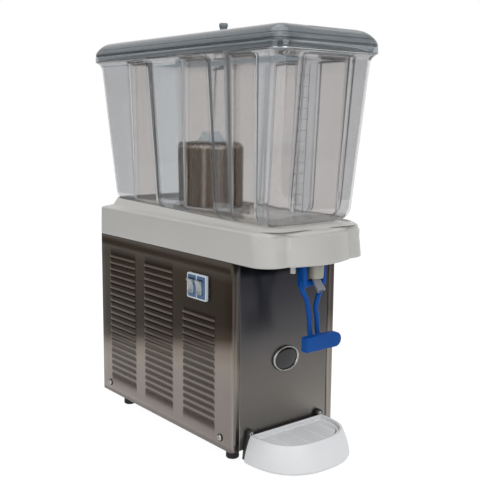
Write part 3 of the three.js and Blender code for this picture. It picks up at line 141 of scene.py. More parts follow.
def tube(path, section, side):
    # Section points (s, n) at each path point: path + s * side + n * (side x tangent)
    tangent = np.gradient(path, axis=0)
    tangent /= np.linalg.norm(tangent, axis=1, keepdims=True)
    side = np.broadcast_to(np.array(side, float), path.shape)
    side = side - tangent * np.sum(side * tangent, axis=1, keepdims=True)
    side /= np.linalg.norm(side, axis=1, keepdims=True)
    up = np.cross(side, tangent)
    section = np.broadcast_to(section, (len(path),) + np.shape(section)[-2:])
    points = path[:, None] + section[..., :1] * side[:, None] + section[..., 1:] * up[:, None]
    return skin(points, capped=True)


def circle(radius, sides=20):
    # radius * (cos a, sin a)
    angle = np.linspace(0, 2 * math.pi, sides, endpoint=False)
    return radius * np.stack([np.cos(angle), np.sin(angle)], -1)


def slab(outline, start, end, edge, axis):
    # An outline carried along an axis; its rim rolls in by edge * (1 - cos a) over edge * sin a
    p = np.array(outline, float)
    run = np.roll(p, -1, 0) - np.roll(p, 1, 0)
    out = np.stack([run[:, 1], -run[:, 0]], -1) / (np.linalg.norm(run, axis=1, keepdims=True) + 1e-9)
    area = np.sum(p[:, 0] * np.roll(p[:, 1], -1) - np.roll(p[:, 0], -1) * p[:, 1])
    angle = np.linspace(0, math.pi / 2, 4)
    roll = edge * (1 - np.sin(angle))
    depth = edge * (1 - np.cos(angle))
    inset = np.concatenate([roll, roll[::-1]])[:, None, None]
    along = np.concatenate([start + depth, end - depth[::-1]])[:, None]
    flat = p[None] - np.sign(area) * inset * out[None]
    u, v, w = flat[..., 0], flat[..., 1], np.broadcast_to(along, flat.shape[:2])
    order = {"x": (w, u, v), "y": (u, w, v), "z": (u, v, w)}
    return skin(np.stack(order[axis], -1), capped=True)


def roundOutline(half, front, rear, frontRadius, rearRadius, sideY, frontX, arcSteps, rearSteps):
    # A rectangle with round corners, counterclockwise from above, one row for each level. The sides
    # pass through the given y, the front through the given x, and a corner is radius * (cos a, sin a)
    rows = np.broadcast_arrays(*[np.atleast_2d(v).reshape(-1, 1).astype(float) for v in
                                 (half, front, rear, frontRadius, rearRadius)])
    half, front, rear, frontRadius, rearRadius = rows
    count = len(half)
    share = np.linspace(0, 1, arcSteps)[None, :]
    fullRow = np.ones((count, 1))
    sideY = np.broadcast_to(sideY, (count, np.shape(sideY)[-1]))
    frontX = np.broadcast_to(frontX, (count, np.shape(frontX)[-1]))

    def corner(cx, cy, radius, quarters):
        angle = math.pi / 2 * (quarters + share)
        return cx + radius * np.cos(angle), cy + radius * np.sin(angle)

    rearX = np.linspace(1, -1, rearSteps)[None, 1:-1] * (half - rearRadius)
    parts = [
        corner(half - rearRadius, rear - rearRadius, rearRadius, 0),
        (rearX, rear * np.ones_like(rearX)),
        corner(rearRadius - half, rear - rearRadius, rearRadius, 1),
        (-half * np.ones_like(sideY), sideY[:, ::-1]),
        corner(frontRadius - half, front + frontRadius, frontRadius, 2),
        (frontX, front * np.ones_like(frontX)),
        corner(half - frontRadius, front + frontRadius, frontRadius, 3),
        (half * np.ones_like(sideY), sideY),
    ]
    names = ["corner", "rear", "corner", "left", "corner", "front", "corner", "right"]
    kind = np.concatenate([[name] * part[0].shape[1] for name, part in zip(names, parts)])
    x = np.concatenate([part[0] * fullRow for part in parts], 1)
    y = np.concatenate([part[1] * fullRow for part in parts], 1)
    return x, y, kind


def quarter(radius, steps):
    # A fillet from flat to upright: height radius * (1 - cos a), inset radius * (1 - sin a)
    angle = np.linspace(0, math.pi / 2, steps)
    return radius * (1 - np.cos(angle)), radius * (1 - np.sin(angle))


# Materials

def linear(code):
    # sRGB hex to linear: ((c + 0.055) / 1.055) ^ 2.4 above the toe
    c = np.array([int(code[i:i + 2], 16) for i in (1, 3, 5)]) / 255
    c = np.where(c > 0.04045, ((c + 0.055) / 1.055) ** 2.4, c / 12.92)
    return (*map(float, c), 1.0)


def addNode(tree, kind, inputs=None, stops=None, **settings):
    # One node with its settings, colour stops and inputs. An input is a value, a socket to link,
    # or a node, whose first output in use is linked
    made = tree.nodes.new(kind)
    for name, value in settings.items():
        setattr(made, name, value)
    for i, (place, colour) in enumerate(stops or []):
        element = made.color_ramp.elements[i] if i < 2 else made.color_ramp.elements.new(place)
        element.position, element.color = place, linear(colour)
    for name, value in (inputs or {}).items():
        if isinstance(value, bpy.types.Node):
            value = next(output for output in value.outputs if output.enabled)
        if isinstance(value, bpy.types.NodeSocket):
            tree.links.new(value, made.inputs[name])
        else:
            made.inputs[name].default_value = value
    return made


def newMaterial(name):
    made = bpy.data.materials.new(name)
    made.use_nodes = True
    made.node_tree.nodes.clear()
    return made, made.node_tree


def brushedSheet(name, stops, lipReflectionStops, hoodReflectionStops, streak, roughness, tilt=0.0):
    # Ferritic stainless sheet with a horizontal brushed finish: fine streaks run round the cabinet
    # and smear what the sheet mirrors up and down; the room's reflection is painted into its colour
    # as a soft change from dark at the top to pale near the table, lower down towards the rear
    made, tree = newMaterial(name)
    place = addNode(tree, "ShaderNodeTexCoord").outputs["Object"]
    parts = addNode(tree, "ShaderNodeSeparateXYZ", {0: place}).outputs
    slanted = addNode(tree, "ShaderNodeMath", {0: parts["Y"], 1: tilt, 2: parts["Z"]},
                      operation="MULTIPLY_ADD")
    low = (levels["panelBottom"] + tilt * origin[1]) / 1000
    high = low + (levels["panelTop"] - levels["panelBottom"] + tilt * cabinetDepth) / 1000
    share = addNode(tree, "ShaderNodeMapRange", {"Value": slanted, "From Min": low,
                                                 "From Max": high})
    tone = addNode(tree, "ShaderNodeValToRGB", {"Fac": share}, stops=stops)
    # The bent lips and the pressed hoods get painted reflections of their own
    for label, paintedStops in (("lip", lipReflectionStops), ("hood", hoodReflectionStops)):
        much = addNode(tree, "ShaderNodeAttribute", attribute_name=label).outputs["Fac"]
        other = addNode(tree, "ShaderNodeValToRGB", {"Fac": share}, stops=paintedStops)
        tone = addNode(tree, "ShaderNodeMix", {"Factor": much, 6: tone, 7: other},
                       data_type="RGBA")
    # Streaks 0.9 mm high and 60 mm long: the real grit is finer than the render can show
    stretched = addNode(tree, "ShaderNodeMapping", {"Vector": place, "Scale": (16, 16, 1100)})
    grain = addNode(tree, "ShaderNodeTexNoise", {"Vector": stretched, "Scale": 1.0, "Detail": 3.0,
                                                 "Roughness": 0.6})
    dirt = addNode(tree, "ShaderNodeMapRange", {"Value": grain, "To Min": 0.0, "To Max": 2 * streak})
    worn = addNode(tree, "ShaderNodeMix", {"Factor": dirt, 6: tone, 7: linear("#15120f")},
                   data_type="RGBA")
    bump = addNode(tree, "ShaderNodeBump", {"Height": grain, "Strength": 0.12, "Distance": 0.00015})
    cloud = addNode(tree, "ShaderNodeTexNoise", {"Vector": place, "Scale": 14.0, "Detail": 2.0})
    rough = addNode(tree, "ShaderNodeMapRange", {"Value": cloud, "To Min": roughness - 0.05,
                                                 "To Max": roughness + 0.07})
    around = addNode(tree, "ShaderNodeTangent", direction_type="RADIAL", axis="Z")
    # A hood mirrors less than the flat sheet, and a dull stretch less as well
    dull = addNode(tree, "ShaderNodeAttribute", attribute_name="dull").outputs["Fac"]
    mirror = addNode(tree, "ShaderNodeMapRange", {"Value": much, "To Min": 1.0, "To Max": 0.45})
    metallic = addNode(tree, "ShaderNodeMath", {0: dull, 1: -0.55, 2: mirror},
                       operation="MULTIPLY_ADD")
    surface = addNode(tree, "ShaderNodeBsdfPrincipled", {
        "Base Color": worn, "Metallic": metallic, "Roughness": rough, "Anisotropic": 0.8,
        "Anisotropic Rotation": 0.25, "Tangent": around, "Normal": bump})
    addNode(tree, "ShaderNodeOutputMaterial", {"Surface": surface})
    return made


def mouldedPlastic(name, colour, shade, roughness, grain=900.0, ior=1.54, soft=0.0, coat=0.0,
                   shine=0.5):
    # Injection moulded plastic: an even colour that drifts slightly, with a fine spark-eroded skin
    made, tree = newMaterial(name)
    place = addNode(tree, "ShaderNodeTexCoord").outputs["Object"]
    drift, fine, rub = [
        addNode(tree, "ShaderNodeTexNoise", {"Vector": place, "Scale": scale, "Detail": detail})
        for scale, detail in ((9.0, 3.0), (grain, 1.0), (22.0, 4.0))]
    tone = addNode(tree, "ShaderNodeMix", {"Factor": drift, 6: linear(colour), 7: linear(shade)},
                   data_type="RGBA")
    bump = addNode(tree, "ShaderNodeBump", {"Height": fine, "Strength": 0.25, "Distance": 0.00004})
    rough = addNode(tree, "ShaderNodeMapRange", {"Value": rub, "To Min": roughness - 0.06,
                                                 "To Max": roughness + 0.08})
    surface = addNode(tree, "ShaderNodeBsdfPrincipled", {
        "Base Color": tone, "IOR": ior, "Specular IOR Level": shine, "Normal": bump,
        "Roughness": rough, "Subsurface Weight": soft, "Subsurface Scale": 0.002,
        "Coat Weight": coat, "Coat Roughness": 0.15})
    addNode(tree, "ShaderNodeOutputMaterial", {"Surface": surface})
    return made


def clearPlastic(name, colour, marks, roughness, clarity, ior=1.585):
    # Clear or smoked polycarbonate: it shows what is behind it, and washing leaves it faintly hazy.
    # Each mark is an attribute of the piece and the colour it brings: flutes, a smoky thick rim,
    # stretches of painted light, and creases, whose painted shade makes dark lines
    made, tree = newMaterial(name)
    place = addNode(tree, "ShaderNodeTexCoord").outputs["Object"]
    wash, ripple = [
        addNode(tree, "ShaderNodeTexNoise", {"Vector": place, "Scale": scale, "Detail": detail})
        for scale, detail in ((24.0, 3.0), (30.0, 1.0))]
    rough = addNode(tree, "ShaderNodeMapRange", {"Value": wash, "To Min": roughness,
                                                 "To Max": roughness + 0.05})
    tone = linear(colour)
    for label, other in marks.items():
        much = addNode(tree, "ShaderNodeAttribute", attribute_name=label).outputs["Fac"]
        tone = addNode(tree, "ShaderNodeMix", {"Factor": much, 6: tone, 7: linear(other)},
                       data_type="RGBA")
        if label == "creaseShade":
            rough = addNode(tree, "ShaderNodeMath", {0: much, 1: 0.3, 2: rough},
                            operation="MULTIPLY_ADD")
            clarity = addNode(tree, "ShaderNodeMapRange", {"Value": much, "To Min": clarity,
                                                           "To Max": 0.1 * clarity})
    bump = addNode(tree, "ShaderNodeBump", {"Height": ripple, "Strength": 0.05, "Distance": 0.0005})
    surface = addNode(tree, "ShaderNodeBsdfPrincipled", {
        "Base Color": tone, "IOR": ior, "Transmission Weight": clarity, "Roughness": rough,
        "Specular IOR Level": 0.25, "Normal": bump})
    addNode(tree, "ShaderNodeOutputMaterial", {"Surface": surface})
    return made


def plainMetal(name, colour, shade, roughness, scale=300.0, metallic=1.0, stretch=(1, 1, 1),
               paintedGlint=None):
    # Plated, painted or bare metal: two close tones in a grain of the finish's own size, and a painted
    # highlight, paler and less of a mirror, wherever a glint colour is given
    made, tree = newMaterial(name)
    place = addNode(tree, "ShaderNodeTexCoord").outputs["Object"]
    stretched = addNode(tree, "ShaderNodeMapping", {"Vector": place, "Scale": stretch})
    grain = addNode(tree, "ShaderNodeTexNoise", {"Vector": stretched, "Scale": scale,
                                                 "Detail": 3.0})
    tone = addNode(tree, "ShaderNodeMix", {"Factor": grain, 6: linear(colour), 7: linear(shade)},
                   data_type="RGBA")
    bump = addNode(tree, "ShaderNodeBump", {"Height": grain, "Strength": 0.15, "Distance": 0.0001})
    rough = addNode(tree, "ShaderNodeMapRange", {"Value": grain, "To Min": roughness - 0.06,
                                                 "To Max": roughness + 0.08})
    if paintedGlint:
        much = addNode(tree, "ShaderNodeAttribute", attribute_name="paintedGlint").outputs["Fac"]
        tone = addNode(tree, "ShaderNodeMix", {"Factor": much, 6: tone, 7: linear(paintedGlint)},
                       data_type="RGBA")
        metallic = addNode(tree, "ShaderNodeMapRange", {"Value": much, "To Min": metallic,
                                                        "To Max": 0.4 * metallic})
    surface = addNode(tree, "ShaderNodeBsdfPrincipled", {
        "Base Color": tone, "Metallic": metallic, "Normal": bump, "Roughness": rough})
    addNode(tree, "ShaderNodeOutputMaterial", {"Surface": surface})
    return made


finishes = dict(
    # The stops are a painted reflection of the room: first the sheet's, then the lips', then the
    # hoods'
    side=brushedSheet(
        "brushed stainless side sheet",
        [(0.0, "#837b77"), (0.25, "#8a817d"), (0.37, "#8f877f"), (0.427, "#827970"),
         (0.485, "#41382f"), (0.544, "#2b2219"), (0.63, "#2d241b"), (0.75, "#372c20"),
         (0.86, "#423629"), (1.0, "#423629")],
        [(0.0, "#978f8b"), (0.175, "#8e8982"), (0.35, "#8a8278"), (0.47, "#6b635d"),
         (0.53, "#544e49"), (0.70, "#554f4c"), (0.775, "#37352f"), (1.0, "#37352f")],
        [(0.0, "#3a312b"), (0.3, "#40362f"), (0.48, "#5d5248"), (0.62, "#766a5f"),
         (1.0, "#766a5f")], 0.05, 0.3, 0.19),
    front=brushedSheet(
        "brushed stainless front sheet",
        [(0.0, "#8a8783"), (0.25, "#75716d"), (0.45, "#686563"), (0.62, "#535254"),
         (0.8, "#45454a"), (1.0, "#33343a")],
        [(0.0, "#74706c"), (1.0, "#2c2e35")], [(0.0, "#6a5f56"), (1.0, "#6a5f56")], 0.05, 0.32),
    # The drum's dark brown is a painted reflection of dark surroundings, its glint a painted highlight
    drum=plainMetal("deep drawn stainless drum", "#67533c", "#3f3122", 0.27, 40.0,
                    stretch=(8, 8, 0.3), paintedGlint="#c9c0b8"),
    zinc=plainMetal("galvanised sheet", "#9a9c9d", "#7e8183", 0.45, 90.0),
    chrome=plainMetal("nickel plated screw", "#b4b4b2", "#8c8b88", 0.24, 500.0),
    zincScrew=plainMetal("zinc plated screw", "#cfcdc9", "#a9a7a3", 0.4, 500.0, metallic=0.5),
    spring=plainMetal("spring wire", "#b0b2b4", "#8a8c8e", 0.25, 800.0),
    badgeDark=plainMetal("dark enamel in the badge", "#0d0d0f", "#1a1a1e", 0.12, 60.0, metallic=0.0),
    # The washers' dark colour is painted shade round each screw head
    washer=plainMetal("darkened washer", "#3a3835", "#2b2927", 0.4),
    fins=plainMetal("aluminium condenser fins", "#b9bcbf", "#8d9194", 0.4, 200.0),
    blackPaint=plainMetal("black stoved paint", "#17181a", "#222427", 0.42, 250.0, metallic=0.0),
    basin=mouldedPlastic("white ABS basin", "#bfbebb", "#b8b7b4", 0.38),
    tray=mouldedPlastic("white polypropylene tray", "#e9eaec", "#e2e4e6", 0.42, soft=0.05),
    # The grille is paler than the tray's same plastic: painted light against the shade in its slats
    grille=mouldedPlastic("white polypropylene grille", "#fafbfc", "#f4f6f8", 0.42, soft=0.05),
    # The tap's grey is painted shade: it is white plastic in the basin's shadow
    tap=mouldedPlastic("white acetal tap", "#9f9e90", "#929184", 0.36),
    nozzle=mouldedPlastic("pale nozzle tube", "#80828a", "#76787f", 0.4, soft=0.1),
    blue=mouldedPlastic("blue moulded lever", "#004e9e", "#00438c", 0.42, ior=1.46, shine=0.2),
    switchBlue=mouldedPlastic("blue switch body", "#3d5f8f", "#34547f", 0.4),
    switchWhite=mouldedPlastic("pale switch frame", "#d3dde6", "#c5d0da", 0.4),
    rocker=mouldedPlastic("clear-capped rocker", "#989fa2", "#828a8d", 0.22, soft=0.1, coat=0.4),
    grey=mouldedPlastic("grey nylon", "#8e959a", "#7f868b", 0.4),
    knob=mouldedPlastic("grey knob", "#828a8f", "#70787d", 0.35),
    stirrer=mouldedPlastic("pale stirrer", "#dfe8ee", "#d3dee6", 0.35, soft=0.1),
    seal=mouldedPlastic("silicone seal", "#cdd0ce", "#bfc3c1", 0.55, soft=0.1),
    rubber=mouldedPlastic("black rubber", "#0b0b0c", "#161617", 0.75, grain=500.0),
    black=mouldedPlastic("black glass-filled nylon", "#161617", "#202022", 0.5),
    # On the tank and the lid, pale is painted light and the crease colour is painted shade
    clear=clearPlastic("clear polycarbonate tank", "#d3d3d4", dict(
        flute="#d9d5d2", smoky="#8c969c", pale="#dcdfe1", creaseShade="#0a0909"), 0.02, 1.0),
    smoke=clearPlastic("smoked polycarbonate lid", "#697279", dict(
        pale="#aab1b5", creaseShade="#15171a"), 0.06, 0.6),
    scale=clearPlastic("raised scale marks", "#84868a", {}, 0.1, 0.7),
)
print("materials made:", len(finishes))


# Pieces

def makePiece(name, parts, body, finish, replaced=(), values=None, sharpAngle=34,
              reverse=False, closed=True):
    # Puts the parts of a piece into one mesh, in metres and in the frame's own place
    counts = np.cumsum([0] + [len(points) for points, _ in parts])
    points = (np.concatenate([part[0] for part in parts]) + origin) / 1000
    faces = [face for start, part in zip(counts, parts) for block in part[1]
             for face in ((block[:, ::-1] if reverse else block) + start).tolist()]
    mesh = bpy.data.meshes.new(name)
    mesh.from_pydata(points.tolist(), [], faces)
    for label, numbers in (values or {}).items():
        layer = mesh.attributes.new(name=label, type="FLOAT", domain="POINT")
        layer.data.foreach_set("value", np.asarray(numbers, np.float32).ravel())
    if closed:
        # Doubled points at poles are merged, then every face is turned outwards
        work = bmesh.new()
        work.from_mesh(mesh)
        bmesh.ops.remove_doubles(work, verts=work.verts, dist=2e-6)
        bmesh.ops.recalc_face_normals(work, faces=work.faces)
        work.to_mesh(mesh)
        work.free()
    mesh.shade_smooth()
    mesh.set_sharp_from_angle(angle=math.radians(sharpAngle))
    mesh.materials.append(finishes[finish])
    piece = bpy.data.objects.new(name, mesh)
    bpy.context.collection.objects.link(piece)
    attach(piece, body)
    if replaced:
        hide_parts(*replaced)
    return piece


def thicken(piece, thickness):
    # Gives an open sheet its thickness towards the inside
    wall = piece.modifiers.new("sheet", "SOLIDIFY")
    wall.thickness = thickness / 1000
    wall.offset = -1.0
    return piece


def makeTurned(name, profile, radius, steps, centre, sides, body, finish, replaced=(),
               axis="z", squash=(1, 1)):
    # A profile softened by the radius and turned about an axis through the centre
    profile = softened(profile, radius, steps, closed=False)
    makePiece(name, [turned(profile, centre, sides, axis, squash)], body, finish, replaced)


# Side panels: one sheet bent round both corners, with pressed hoods open below
louvres = dict(length=80, pitch=10.75, rise=5.4, reach=1.7, end=4.5, bottom=56, margin=1.2,
               starts=(38.5, 145, 251.5), counts=(15, 20, 20), bend=4, lip=86, thickness=1.2,
               plainFoot=36, plainTop=278, plainFront=20, plainRear=345, open=0.25, fade=0.9,
               dullTop=19, lipFade=1.5)


def hoodShape(y, z, settings):
    # Height = reach * fall(z) * end(y): the sheet leans out from the top of a hood to its free
    # lower edge, and its two ends round off as the quarter of a circle does
    height = np.zeros(np.broadcast(y, z).shape)
    for start, count in zip(settings["starts"], settings["counts"]):
        middle = start + settings["length"] / 2
        inward = (settings["length"] / 2 - np.abs(y - middle)) / settings["end"]
        end = np.sqrt(np.clip(1 - (1 - np.clip(inward, 0, 1)) ** 2, 0, 1))
        up = z - settings["bottom"]
        row = np.floor((up + 1e-6) / settings["pitch"])
        share = (up - row * settings["pitch"]) / settings["rise"]
        fall = np.clip(1 - share, 0, 1) ** 0.85
        inside = (row >= 0) & (row < count) & (share < 1)
        height += np.where(inside, settings["reach"] * fall * end, 0)
    return height


def makeSidePanel(side, node, s=louvres):
    # Columns follow the bent sheet from its front lip to its rear one, rows stand closer together
    # at the hoods, and the flat side moves out by hoodShape
    hoodRows = np.append(-0.3, np.array([0.0, 0.12, 0.3, 0.55, 0.8, 1.0]) * s["rise"])
    rows = (s["bottom"] + s["pitch"] * np.arange(max(s["counts"]))[:, None] + hoodRows).ravel()
    z = np.concatenate([[levels["panelBottom"], s["plainFoot"]], rows,
                        [s["plainTop"], levels["panelTop"]]])
    ends = s["end"] * (1 - np.cos(np.linspace(0, math.pi / 2, 7)))
    hood = np.concatenate([[-s["margin"]], ends, [s["length"] / 2], s["length"] - ends[::-1],
                           [s["length"] + s["margin"]]])
    columns = (np.array(s["starts"])[:, None] + hood).ravel()
    straight = np.concatenate([[s["bend"], s["plainFront"]], columns,
                               [s["plainRear"], cabinetDepth - s["bend"]]])
    angle = np.linspace(0, math.pi / 2, 6)[1:-1]
    r = s["bend"]
    frontX, frontY = halfCabinet - r + r * np.sin(angle), r - r * np.cos(angle)
    outX = np.concatenate([[s["lip"], halfCabinet - r], frontX, np.full(len(straight), halfCabinet),
                           frontX[::-1], [halfCabinet - r, s["lip"]]])
    outY = np.concatenate([[0, 0], frontY, straight, cabinetDepth - frontY[::-1],
                           [cabinetDepth, cabinetDepth]])
    onSide = (outX >= halfCabinet)[None, :]
    height = hoodShape(outY[None, :], z[:, None], s) * onSide
    below = np.zeros(len(z), bool)
    below[2:-2:len(hoodRows)] = True
    height[below] = 0
    points = np.stack(np.broadcast_arrays(side * (outX[None] + height), outY[None], z[:, None]), -1)
    faces = gridFaces(*points.shape[:2])
    # The free lower edge of a hood stays open
    opening = height.ravel()[faces].max(1) > s["open"]
    gap = np.repeat(below[:-1], points.shape[1] - 1) & opening
    # The hoods carry a painted reflection of their own, pale up high and dark low down
    tint = smooth((height - s["open"]) / s["fade"]).ravel()
    # Under each hood and under the basin the sheet is duller, so it mirrors less of what is over it
    rowZ = s["bottom"] + np.floor((z - s["bottom"]) / s["pitch"] + 1) * s["pitch"] + 0.01
    dull = (hoodShape(outY[None, :], rowZ[:, None], s) > 0.5) & onSide & (height < 0.3)
    dull = (dull | (z[:, None] > levels["panelTop"] - s["dullTop"])).astype(float).ravel()
    # The flat front lip and the start of its bend carry a painted reflection of their own
    lip = np.broadcast_to(smooth(1 - outY / s["lipFade"])[None, :], height.shape).ravel()
    piece = makePiece(node + "_sheet", [(points.reshape(-1, 3), [faces[~gap]])], "cabinet",
                      "side", (node,), {"hood": tint, "lip": lip, "dull": dull},
                      reverse=side < 0, closed=False)
    return thicken(piece, s["thickness"])


makeSidePanel(-1, "left_side_panel")
makeSidePanel(1, "right_side_panel")

# Front and rear panels: sheets with both long edges turned in
sheets = dict(half=85.5, turn=11, bend=1.8, thickness=1.2, rows=12)


def makeEndPanel(node, face, inward, finish, s=sheets):
    # The bent path is carried straight up from the foot of the panel to its top
    path = softened([(-s["half"], face + inward * s["turn"]), (-s["half"], face), (s["half"], face),
                     (s["half"], face + inward * s["turn"])], s["bend"], 6, closed=False)
    z = np.linspace(levels["panelBottom"], levels["panelTop"], s["rows"])[:, None]
    points = np.stack(np.broadcast_arrays(path[None, :, 0], path[None, :, 1], z), -1)
    piece = makePiece(node + "_sheet", [(points.reshape(-1, 3), [gridFaces(*points.shape[:2])])],
                      "cabinet", finish, (node,), reverse=inward < 0, closed=False)
    return thicken(piece, s["thickness"])


makeEndPanel("front_panel", 0, 1, "front")
makeEndPanel("rear_panel", cabinetDepth, -1, "side")
print("cabinet sheets made")

# Feet, screws and badge
footProfile = [(0, 0), (8.2, 0), (9.6, 1.2), (9.9, 3), (9.5, 6), (9.8, 9), (10.4, 13), (10.5, 18),
               (10.2, 21), (8.5, 22.6), (4, 22.7), (4, 26), (0, 26)]
for corner in ("front_left", "rear_left", "front_right", "rear_right"):
    low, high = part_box("foot_" + corner)
    x, y = 500 * (low.x + high.x) - origin[0], 500 * (low.y + high.y) - origin[1]
    makeTurned("rubber_foot_" + corner, footProfile, 1.0, 4, (x, y, 0), 40, "cabinet",
               "rubber", ("foot_" + corner,))

screw = dict(head=4.6, rise=2.6, shank=2, length=9, hole=2.4, washer=5.6, washerRise=0.8)


def makeScrew(node, axis, sign, washer=True, finish="chrome", s=screw):
    # A domed head on a shank; the washer under it is a thin ring of its own
    low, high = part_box(node)
    centre = [500 * (low[i] + high[i]) - origin[i] for i in range(3)]
    along = "xyz".index(axis)
    edge = 1000 * (low[along] if sign < 0 else high[along]) - origin[along]
    centre[along] = edge - sign * s["rise"]
    shank, head, rise = s["shank"], s["head"], s["rise"]
    profile = [(0, -s["length"]), (shank, -s["length"]), (shank, 0), (head, 0),
               (head, rise * 0.45), (head * 0.7, rise * 0.93), (head * 0.3, rise),
               (head * 0.24, rise * 0.45), (0, rise * 0.4)]
    makeTurned(node + "_domed", np.array(profile) * (1, sign), 0.35, 4, centre, 28, "cabinet",
               finish, (node,), axis)
    if washer:
        ring = [(s["hole"], 0), (s["washer"], 0), (s["washer"], s["washerRise"]),
                (s["hole"], s["washerRise"]), (s["hole"], 0)]
        # The washer's dark finish is painted shade round the head
        makeTurned(node + "_washer", np.array(ring) * (1, sign), 0.15, 3, centre, 28, "cabinet",
                   "washer", (), axis)


for place in ("front", "rear"):
    makeScrew("panel_screw_left_" + place, "x", -1)
    makeScrew("panel_screw_right_" + place, "x", 1)
makeScrew("tray_screw_left", "y", -1, False, "zincScrew")
makeScrew("tray_screw_right", "y", -1, False, "zincScrew")

# The badge's radii are shares of its half width and half height
badge = dict(half=(25, 19), centre=(0, -0.3, 145), sides=72)
rim = [(0.84, 0), (1.0, 0), (1.0, 1.4), (0.98, 3.2), (0.93, 4), (0.88, 3.4), (0.85, 2.2), (0.84, 0)]
field = [(0, 0.2), (0.86, 0.2), (0.86, 1.6), (0.7, 2.6), (0.45, 3.3), (0.2, 3.7), (0, 3.8)]
for name, profile, radius, finish, replaced in (("badge_rim", rim, 0.4, "chrome", ("badge",)),
                                                ("badge_field", field, 0.2, "badgeDark", ())):
    makeTurned(name, np.array(profile) * (1, -1), radius, 4, badge["centre"], badge["sides"],
               "cabinet", finish, replaced, "y", badge["half"])

# Switch block: a plate with a divider, two modules behind it and a rocker in each
switch = dict(face=-100.3, depth=4.2, start=54.5, width=46.5, low=233, height=37, edge=1.0,
              openHalf=(21.2, 16.3), dividerHalf=(0.9, 16.6), wellReach=(1.1, 20.9), wellHalf=16,
              rockerHalf=(7.4, 11), bodyHalf=(17.8, 11.8), wellBack=-101, barFront=-104.6,
              bodyFront=-100, bodyBack=-77)
rocker = dict(half=10.1, gap=0.1, face=0.4, curl=2.6, rimStart=0.8, rimRoll=8.8, depth=4.6,
              backCurl=0.75, tilt=8, x=-105.3)
switchY = switch["start"] + switch["width"] / 2
switchZ = switch["low"] + switch["height"] / 2


def rectangle(y0, y1, z0, z1, radius, steps=5):
    # Four corners, each softened by the radius
    return softened([(y0, z0), (y1, z0), (y1, z1), (y0, z1)], radius, steps)


def aroundPoint(y, halves, radius):
    # A soft rectangle centred on a y at the height of the switch block
    return rectangle(y - halves[0], y + halves[0], switchZ - halves[1], switchZ + halves[1], radius)


def framed(outer, inner, back, front, edge):
    # A frame between two outlines of equal count: six rings make its closed section
    rings = [(outer, back), (outer, front + edge), (mix(outer, inner, 0.12), front),
             (mix(outer, inner, 0.9), front), (inner, front + 0.5), (inner, back)]
    flat = np.stack([ring for ring, _ in rings])
    return loop(np.array([[level] for _, level in rings]), flat[..., 0], flat[..., 1])


outer = aroundPoint(switchY, (switch["width"] / 2, switch["height"] / 2), 2.5)
plateFront = switch["face"] - switch["depth"]
makePiece("switch_plate", [framed(outer, aroundPoint(switchY, switch["openHalf"], 1), switch["face"],
                                  plateFront, switch["edge"])],
          "cabinet", "switchWhite", ("switch_frame",))
bar = slab(aroundPoint(switchY, switch["dividerHalf"], 0.3), switch["barFront"],
           switch["wellBack"], 0.3, "x")
makePiece("switch_divider", [bar], "cabinet", "switchWhite")
rockerBoxes = [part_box(node) for node in ("rocker_power", "rocker_cooling")]
wells = []
for middle in sorted(500 * (low.y + high.y) - origin[1] for low, high in rockerBoxes):
    side = -1 if middle < switchY else 1
    near, far = sorted(switchY + side * reach for reach in switch["wellReach"])
    wide = rectangle(near, far, switchZ - switch["wellHalf"], switchZ + switch["wellHalf"], 1.2)
    slim = aroundPoint(middle, switch["rockerHalf"], 0.8)
    wells.append(framed(wide, slim, switch["wellBack"], plateFront + 0.2, 0.6))
wells.append(slab(aroundPoint(switchY, switch["bodyHalf"], 1), switch["bodyFront"],
                  switch["bodyBack"], 1, "x"))
makePiece("switch_modules", wells, "cabinet", "switchBlue", ("switch_body",))


def makeRocker(node, s=rocker):
    # Front = face + curl * v^2 curls out at both ends; beyond rimStart the rim rolls back by
    # rimRoll * (|u| - rimStart)^1.5 at both sides, and the rear is depth * (1 - backCurl * v^2)
    low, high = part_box(node)
    y0, y1 = 1000 * low.y - origin[1], 1000 * high.y - origin[1]
    v = np.linspace(-1, 1, 25)[None, :]
    u = np.linspace(-1, 1, 17)[:, None]
    front = s["face"] + s["curl"] * v ** 2
    front = front - s["rimRoll"] * np.clip(np.abs(u) - s["rimStart"], 0, 1) ** 1.5
    y = (y0 + y1) / 2 + u * ((y1 - y0) / 2 - s["gap"])
    rear = s["depth"] * (1 - s["backCurl"] * v ** 2)
    points = np.stack([np.stack(np.broadcast_arrays(x, y, v * s["half"]), -1)
                       for x in (-front, rear + 0 * u)])
    tilt = math.radians(s["tilt"])
    turn = np.array([[math.cos(tilt), 0, -math.sin(tilt)], [0, 1, 0],
                     [math.sin(tilt), 0, math.cos(tilt)]])
    points = points @ turn.T + np.array([s["x"], 0, switchZ])
    rows, columns = points.shape[1:3]
    sheet, total = gridFaces(rows, columns), rows * columns
    edge = np.concatenate([np.arange(columns), np.arange(2, rows) * columns - 1,
                           total - 1 - np.arange(columns), np.arange(rows - 2, 0, -1) * columns])
    after = np.roll(edge, -1)
    side = np.stack([edge, after, after + total, edge + total], -1)
    makePiece(node + "_cap", [(points.reshape(-1, 3), [sheet, sheet[:, ::-1] + total, side])],
              node, "rocker", (node,))


makeRocker("rocker_power")
makeRocker("rocker_cooling")
print("feet, screws, badge and switches made")

# Basin: a white moulding with a bow over the tap and a collar that climbs to the rear
basin = dict(front=-68, rear=363, cornerRadius=30, rearRadius=4, bow=16, bowHalf=54, shoulder=4,
             draft=0.8, lean=7, wall=3, collarOut=4, collarSpread=5.5, collarFrontRise=1.6,
             collarRearRise=12, roof=3, skirt=7, hole=50.8)
foot = dict(half=77, front=-56.5, rear=350, radius=17)


